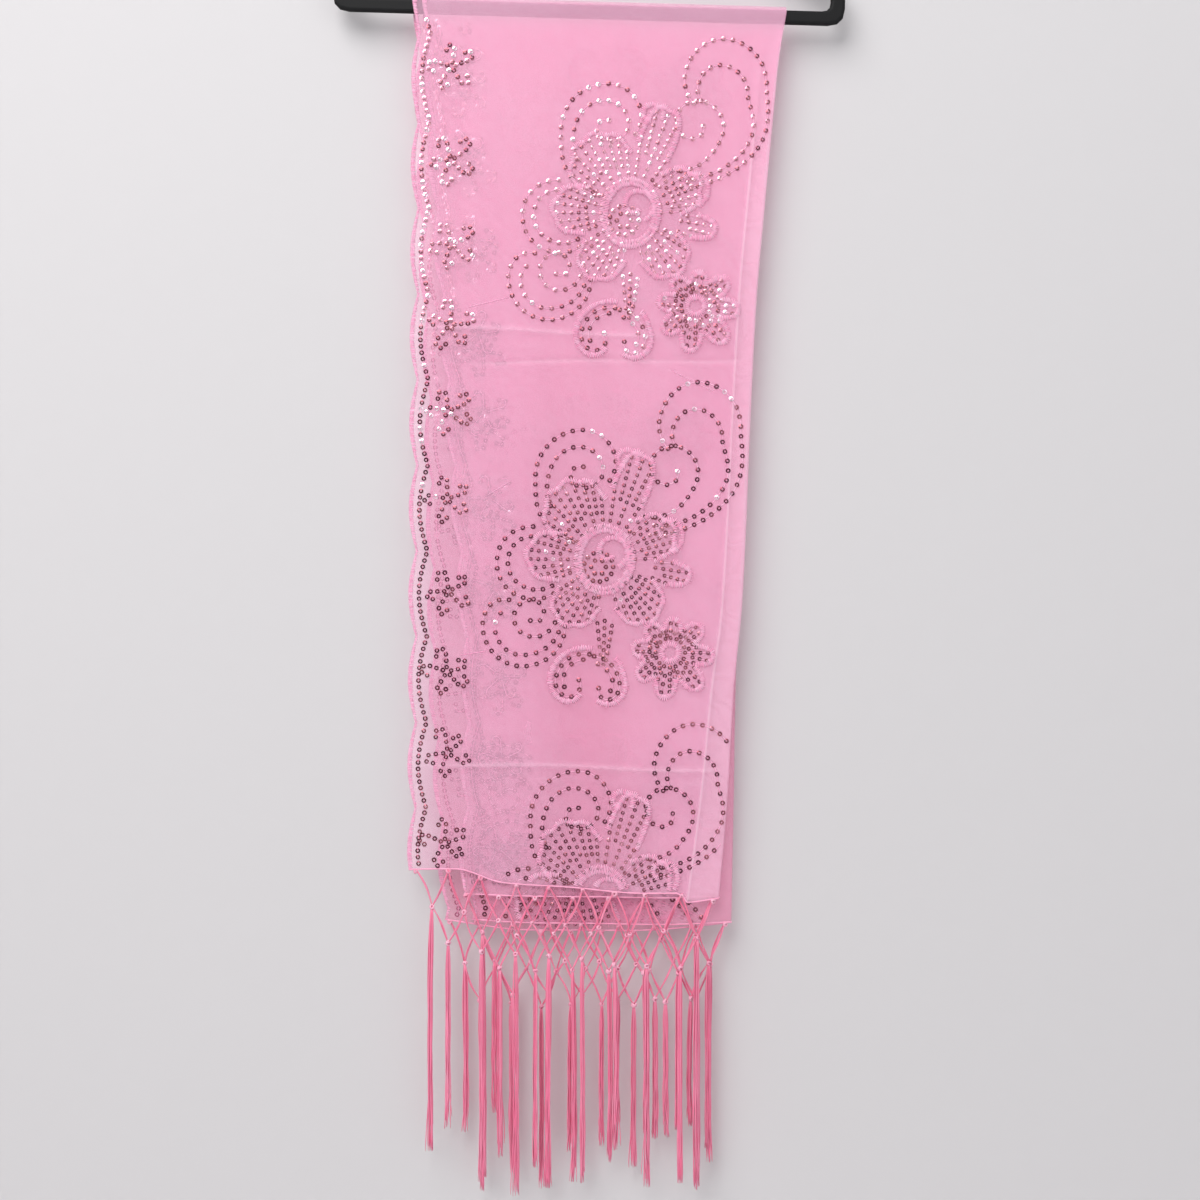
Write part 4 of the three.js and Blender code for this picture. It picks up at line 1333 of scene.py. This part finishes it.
def make_satin(layer, number, outlines):
    starts, ends = [], []
    for path in outlines:
        fine = evenly(path, SATIN_PITCH)
        along = np.gradient(fine, axis=0)
        along /= np.linalg.norm(along, axis=1, keepdims=True) + 1e-9
        across = np.stack([-along[:, 1], along[:, 0]], -1)
        step = np.arange(len(fine)) + int(SEED_FROM_PLACE * abs(path[0, 0])) % SEEDS
        reach = SATIN_REACH * (SATIN_SHARE["least"] + SATIN_SHARE["more"] * uneven(step, 3))[:, None]
        lean = SATIN_LEAN * along * (uneven(step, 4) - 0.5)[:, None]
        keep = inside_cloth(layer, fine)
        starts.append((fine - across * reach + lean)[keep])
        ends.append((fine + across * reach - lean)[keep])
    a, b = np.concatenate(starts), np.concatenate(ends)
    first = on_layer(layer, a[:, 0], a[:, 1], SATIN_LIFT)
    last = on_layer(layer, b[:, 0], b[:, 1], SATIN_LIFT)
    name = "satin_" + layer["name"]
    return stitch_piece(name, first, last, SATIN_RADIUS, seed=number + 2)


worked = [borders, hem_front, hem_back]
for number, layer in enumerate(LAYERS, 1):
    dots, threads, outlines = layer_strokes(layer, number)
    if layer["name"] == "front_outer":
        threads += [evenly(np.array(jump, float), JUMP_STEP) for jump in JUMPS]
    sequins = make_sequins(layer, number, dots)
    worked.append(sequins)
    worked.append(make_running(layer, number, threads))
    if outlines:
        worked.append(make_satin(layer, number, outlines))
    print(layer["name"], "sequins:", len(sequins.data.polygons) // len(SEQUIN_FACES))

# %% [markdown]
# ## The fringe
# Threads are drawn through each hem in bundles. Every bundle parts in two, and halves from neighbours
# are knotted together, twice, which makes a net; from the last knots the threads hang free. The knots
# stand where the solid model has them, so that the free ends hang inside the same room.

# %% Sizes and rows of knots
STRIP_GAP = 0.3
ROOT_DEPTH = 1.3
NET_MARGIN = 5.0
NET_DROPS = (30.0, 28.0)
NET_UNEVEN = 4.0
TASSEL_SWAY = 1.6
FRINGES = [
    {"half": "front", "turn": 0.0, "knots": 10, "tip": 947, "spread": 30, "seed": 3},
    {"half": "front", "turn": math.pi, "knots": 8, "tip": 940, "spread": 26, "seed": 11},
    {"half": "back", "turn": math.pi, "knots": 8, "tip": 936, "spread": 28, "seed": 21},
    {"half": "back", "turn": 0.0, "knots": 10, "tip": 950, "spread": 24, "seed": 34},
]
NET_THREADS = 5
NET_STEPS = 9
NET_SPREAD = 0.75
NET_BOW = 4.5
NET_RISE = 2.6
NET_RADIUS = 0.4
NET_SEEDS = (20, 40)


def knot_rows(row):
    half, turn, seed = HALVES[row["half"]], row["turn"], row["seed"]
    edge, _, _, _ = layer_edges(half, turn, half["length"])
    left = float(edge) + NET_MARGIN
    right = float(half["fold"](half["length"])) - NET_MARGIN
    k = np.arange(row["knots"])
    inner = (k > 0) & (k < row["knots"] - 1)
    x = left + (right - left) * k / (row["knots"] - 1) + NET_UNEVEN * (uneven(k, seed) - 0.5) * inner
    start, fold_start, _, _ = layer_edges(half, turn, half["length"])
    across = np.clip((x - start) / (fold_start - start), 0, 1)
    roots = cloth_point(half, turn, across, hem_fall(half, turn, across))
    roots[:, 0] = x * MM
    roots[:, 2] -= (STRIP_GAP + ROOT_DEPTH) * MM
    rows = [roots]
    for drop, offset in zip(NET_DROPS, NET_SEEDS):
        above = rows[-1]
        below = (above[1:] + above[:-1]) / 2
        step = np.arange(len(below)) + offset
        below[:, 2] -= (drop + NET_UNEVEN * (uneven(step, seed) - 0.5)) * MM
        rows.append(below)
    return rows


TWIST = {"turns": 2.5, "more_turns": 2.5, "least": 0.5, "more": 0.7}
SWELL = {"ends": 0.45, "middle": 0.55}
DEPTH_OF_BUNDLE = 0.7


def twisted(starts, ends, threads, spread, steps, seed, bow):
    """Bundles of loosely twisted threads from each start to each end."""
    t = np.linspace(0, 1, steps)[None, None, :, None]
    n = len(starts)
    centre = starts[:, None, None, :] * (1 - t) + ends[:, None, None, :] * t
    which = np.arange(n)[:, None] * threads + np.arange(threads)[None]
    phase = FULL_TURN * uneven(which, seed)[..., None]
    turns = (TWIST["turns"] + TWIST["more_turns"] * uneven(which, seed + 1))[..., None] * t[..., 0]
    angle = phase + turns * (1 if seed % 2 else -1)
    reach = spread * MM * (TWIST["least"] + TWIST["more"] * uneven(which, seed + 2))[..., None]
    reach = reach * (SWELL["ends"] + SWELL["middle"] * np.sin(np.pi * t[..., 0]))
    offset = np.stack([
        reach * np.cos(angle), reach * DEPTH_OF_BUNDLE * np.sin(angle), np.zeros_like(angle),
    ], -1)
    side = bow * MM * (uneven(np.arange(n), seed + 3) - 0.5)[:, None, None] * np.sin(np.pi * t[..., 0])
    centre = centre + np.stack([side, np.zeros_like(side), np.zeros_like(side)], -1)
    return (centre + offset).reshape(n * threads, steps, 3)


def fringe_net(row, rows):
    """From each hem knot to the two knots below it, and on the same slant to the next row."""
    roots, first, second = rows
    up = np.array([0.0, 0.0, NET_RISE * MM])
    starts, ends = [], []
    for k, root in enumerate(roots):
        for step in (0, 1):
            one, two = k - step, k - 2 * step
            if 0 <= one < len(first):
                starts += [root + up]
                ends += [first[one]]
                if 0 <= two < len(second):
                    starts += [first[one]]
                    ends += [second[two]]
    starts, ends = np.array(starts), np.array(ends)
    return twisted(starts, ends, NET_THREADS, NET_SPREAD, NET_STEPS, row["seed"], NET_BOW)


TASSEL_THREADS = 18
TASSEL_STEPS = 26
TASSEL_RADIUS = 0.36
TASSEL_UNEVEN = 22
TASSEL_SHAPE = {"share": [0, 0.05, 0.15, 0.6, 1], "reach": [0.7, 1.5, 2.2, 2.1, 2.6]}
TASSEL_SWING = 0.8
STRAY = {"more": 5, "above": 0.93}
CURL = {"size": 0.35, "turns": 2.2, "in_depth": 0.5}


def fringe_tassels(row, rows):
    """Free threads below the last knots, which draw together, sway a little and end unevenly."""
    _, first, second = rows
    seed = row["seed"]
    knots = np.concatenate([first[:1], second, first[-1:]])
    knot_x, knot_y, knot_z = (knots[:, axis, None, None] for axis in range(3))
    k = np.arange(len(knots))
    tip_z = (BAR_TOP - row["tip"] - 2 * row["spread"] * (uneven(k + 60, seed) - 0.5)) * MM
    sway = TASSEL_SWAY * 2 * (uneven(k + 80, seed) - 0.5) * MM
    which = k[:, None] * TASSEL_THREADS + np.arange(TASSEL_THREADS)[None]
    shorten = TASSEL_UNEVEN * MM * uneven(which, seed + 5) ** 3
    t = np.linspace(0, 1, TASSEL_STEPS)[None, None, :]
    z = knot_z + (tip_z[:, None, None] + shorten[..., None] - knot_z) * t
    phase = FULL_TURN * uneven(which, seed + 6)[..., None]
    full = np.interp(t, TASSEL_SHAPE["share"], TASSEL_SHAPE["reach"])
    reach = MM * full * np.sqrt(uneven(which, seed + 7))[..., None]
    stray = 1 + STRAY["more"] * (uneven(which, seed + 9) > STRAY["above"])[..., None]
    turns = CURL["turns"] + uneven(which, seed + 8)[..., None]
    wave = np.sin(2 * np.pi * turns * t / np.sqrt(stray) + phase)
    curl = CURL["size"] * MM * stray * wave * t
    swing = sway[:, None, None] * np.sin(np.pi * t * TASSEL_SWING)
    x = knot_x + swing + reach * np.cos(phase) + curl
    y = knot_y + DEPTH_OF_BUNDLE * reach * np.sin(phase) + CURL["in_depth"] * curl
    return np.stack(np.broadcast_arrays(x, y, z), -1).reshape(-1, TASSEL_STEPS, 3)


# %% One knot, modelled once: two small wraps of thread
WRAP_TURNS = ((0.0, 0.5, 0.0), (0.9, -0.6, 0.4))
WRAP_RADIUS = 1.35
WRAP_THICKNESS = 0.75
ROOT_KNOT_RISE = 0.6
KNOT_SIZE = {"least": 0.95, "more": 0.4}
THREAD_TIP = 0.45


def model_knot():
    parts = []
    for turn in WRAP_TURNS:
        bpy.ops.mesh.primitive_torus_add(
            major_segments=8, major_radius=WRAP_RADIUS * MM,
            minor_segments=4, minor_radius=WRAP_THICKNESS * MM, rotation=turn,
        )
        bpy.context.view_layer.update()
        parts.append(take_arrays(bpy.context.object))
    points = np.concatenate([part[0] for part in parts])
    faces = np.concatenate([parts[0][1], parts[1][1] + len(parts[0][0])])
    return points, faces


def thread_piece(name, paths, radius, seed):
    count, steps, _ = paths.shape
    taper = np.ones((count, steps))
    taper[:, -1] = THREAD_TIP
    points, faces = closed_tubes(paths, radius * MM * taper, THREAD_SIDES)
    tone = np.repeat(uneven(np.arange(count), seed), steps * THREAD_SIDES)
    return mesh_piece(name, points, faces, FRINGE, tone=tone)


def make_fringe(half):
    net, tassels, knots = [], [], []
    for row in [row for row in FRINGES if row["half"] == half]:
        rows = knot_rows(row)
        net.append(fringe_net(row, rows))
        tassels.append(fringe_tassels(row, rows))
        knots += [rows[0] + np.array([0, 0, ROOT_KNOT_RISE * MM]), rows[1], rows[2]]
    tied = np.concatenate(knots)
    step = np.arange(len(tied))
    normals = np.stack([uneven(step, 1) - 0.5, np.full(len(tied), -1.0), uneven(step, 2) - 0.5], -1)
    size = KNOT_SIZE["least"] + KNOT_SIZE["more"] * uneven(step, 4)
    turns = facing(normals, FULL_TURN * uneven(step, 3)) * size[:, None, None]
    knot_points, knot_faces = copies(KNOT_POINTS, KNOT_FACES, tied, turns)
    tone = np.repeat(uneven(step, 5), len(KNOT_POINTS))
    knot_mesh = mesh_piece("knots_" + half, knot_points, knot_faces, KNOT, tone=tone)
    net_mesh = thread_piece("net_" + half, np.concatenate(net), NET_RADIUS, 7)
    hang_mesh = thread_piece("tassels_" + half, np.concatenate(tassels), TASSEL_RADIUS, 8)
    return [knot_mesh, net_mesh, hang_mesh]


KNOT_POINTS, KNOT_FACES = model_knot()
fringe_front = make_fringe("front")
fringe_back = make_fringe("back")
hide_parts("fringe_front")
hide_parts("fringe_back")
worked += fringe_front + fringe_back
added = [o for o in bpy.context.scene.objects if o.type == "MESH" and not o.hide_render]
triangles = {o.name: sum(len(p.vertices) - 2 for p in o.data.polygons) for o in added}
print("triangles:", triangles, "in all:", sum(triangles.values()))

# %% [markdown]
# ## Softer shading on the hanger
# The hanger's meshes stay as they are; only their shading is smoothed where faces meet at a shallow
# angle, so that the rounded edges and the wire read as round.

# %% Smooth the hanger's faces
for node in ("hanger_frame", "hanger_hook"):
    bpy.ops.object.select_all(action="DESELECT")
    bpy.context.view_layer.objects.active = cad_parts[node]
    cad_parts[node].select_set(True)
    bpy.ops.object.shade_smooth_by_angle(angle=math.radians(40))

# %% [markdown]
# ## A pale wall, soft light and the camera
# The shawl hangs against a pale wall, lit from the upper left by a large soft light, which throws a
# faint shadow to the right. The wall is seen only from the front, so the object can be looked at from
# behind as well.

# %% Stage
WALL_BEHIND = 0.02
FLOOR_HEIGHT = -1.5


def make_wall_finish(name, one_sided):
    material, tree, shader = new_material(name, (0.63, 0.617, 0.625), 0.9, Specular_IOR_Level=0.0)
    if one_sided:
        seen = tree.nodes.new("ShaderNodeNewGeometry").outputs["Backfacing"]
        tree.links.new(math_node(tree, "SUBTRACT", 1.0, seen), shader.inputs["Alpha"])
    return material


def stage_plane(name, size, location, rotation, material):
    bpy.ops.mesh.primitive_plane_add(size=size, location=location, rotation=rotation)
    plane = bpy.context.object
    plane.name = name
    plane.data.materials.append(material)
    return plane


WALL_FINISH = make_wall_finish("pale_wall", True)
FLOOR_FINISH = make_wall_finish("pale_floor", False)
wall = stage_plane("wall", 5.0, (0, WALL_BEHIND, -0.2), (math.pi / 2, 0, 0), WALL_FINISH)
wall.visible_shadow = False
stage_plane("floor", 9.0, (0, 0, FLOOR_HEIGHT), (0, 0, 0), FLOOR_FINISH)


# %% Lights and world
def soft_light(name, location, aim, size, power, color):
    data = bpy.data.lights.new(name, "AREA")
    data.shape = "DISK"
    data.size = size
    data.energy = power
    data.color = color
    lamp = bpy.data.objects.new(name, data)
    lamp.location = location
    lamp.rotation_euler = (Vector(aim) - Vector(location)).to_track_quat("-Z", "Y").to_euler()
    bpy.context.scene.collection.objects.link(lamp)
    return lamp


MIDDLE = (0.0, 0.0, -0.65)
soft_light("key", (-1.0, -1.9, 1.3), MIDDLE, size=2.4, power=76, color=(1.0, 0.99, 0.985))
soft_light("fill", (1.5, -2.2, -0.1), MIDDLE, size=2.2, power=8, color=(0.97, 0.98, 1.0))
soft_light("behind", (0.9, 1.9, 0.5), MIDDLE, size=1.8, power=48, color=(1.0, 1.0, 1.0))

world = bpy.data.worlds.new("soft_room")
bpy.context.scene.world = world
world.use_nodes = True
world.node_tree.nodes["Background"].inputs["Color"].default_value = (0.93, 0.94, 0.96, 1)
world.node_tree.nodes["Background"].inputs["Strength"].default_value = 0.5

# %% Camera, straight on
camera_data = bpy.data.cameras.new("camera")
camera_data.lens = 50
camera_data.sensor_width = 36
camera = bpy.data.objects.new("camera", camera_data)
camera.location = (0.003, -1.3667, -0.693)
camera.rotation_euler = (math.pi / 2, 0, 0)
bpy.context.scene.collection.objects.link(camera)
bpy.context.scene.camera = camera
bpy.context.scene.view_settings.view_transform = "Standard"
cycles = bpy.context.scene.cycles
cycles.transparent_max_bounces = 20
cycles.max_bounces = 5
cycles.diffuse_bounces = 3
cycles.glossy_bounces = 2
cycles.transmission_bounces = 1

# %% Bring the view layer up to date
bpy.context.view_layer.update()
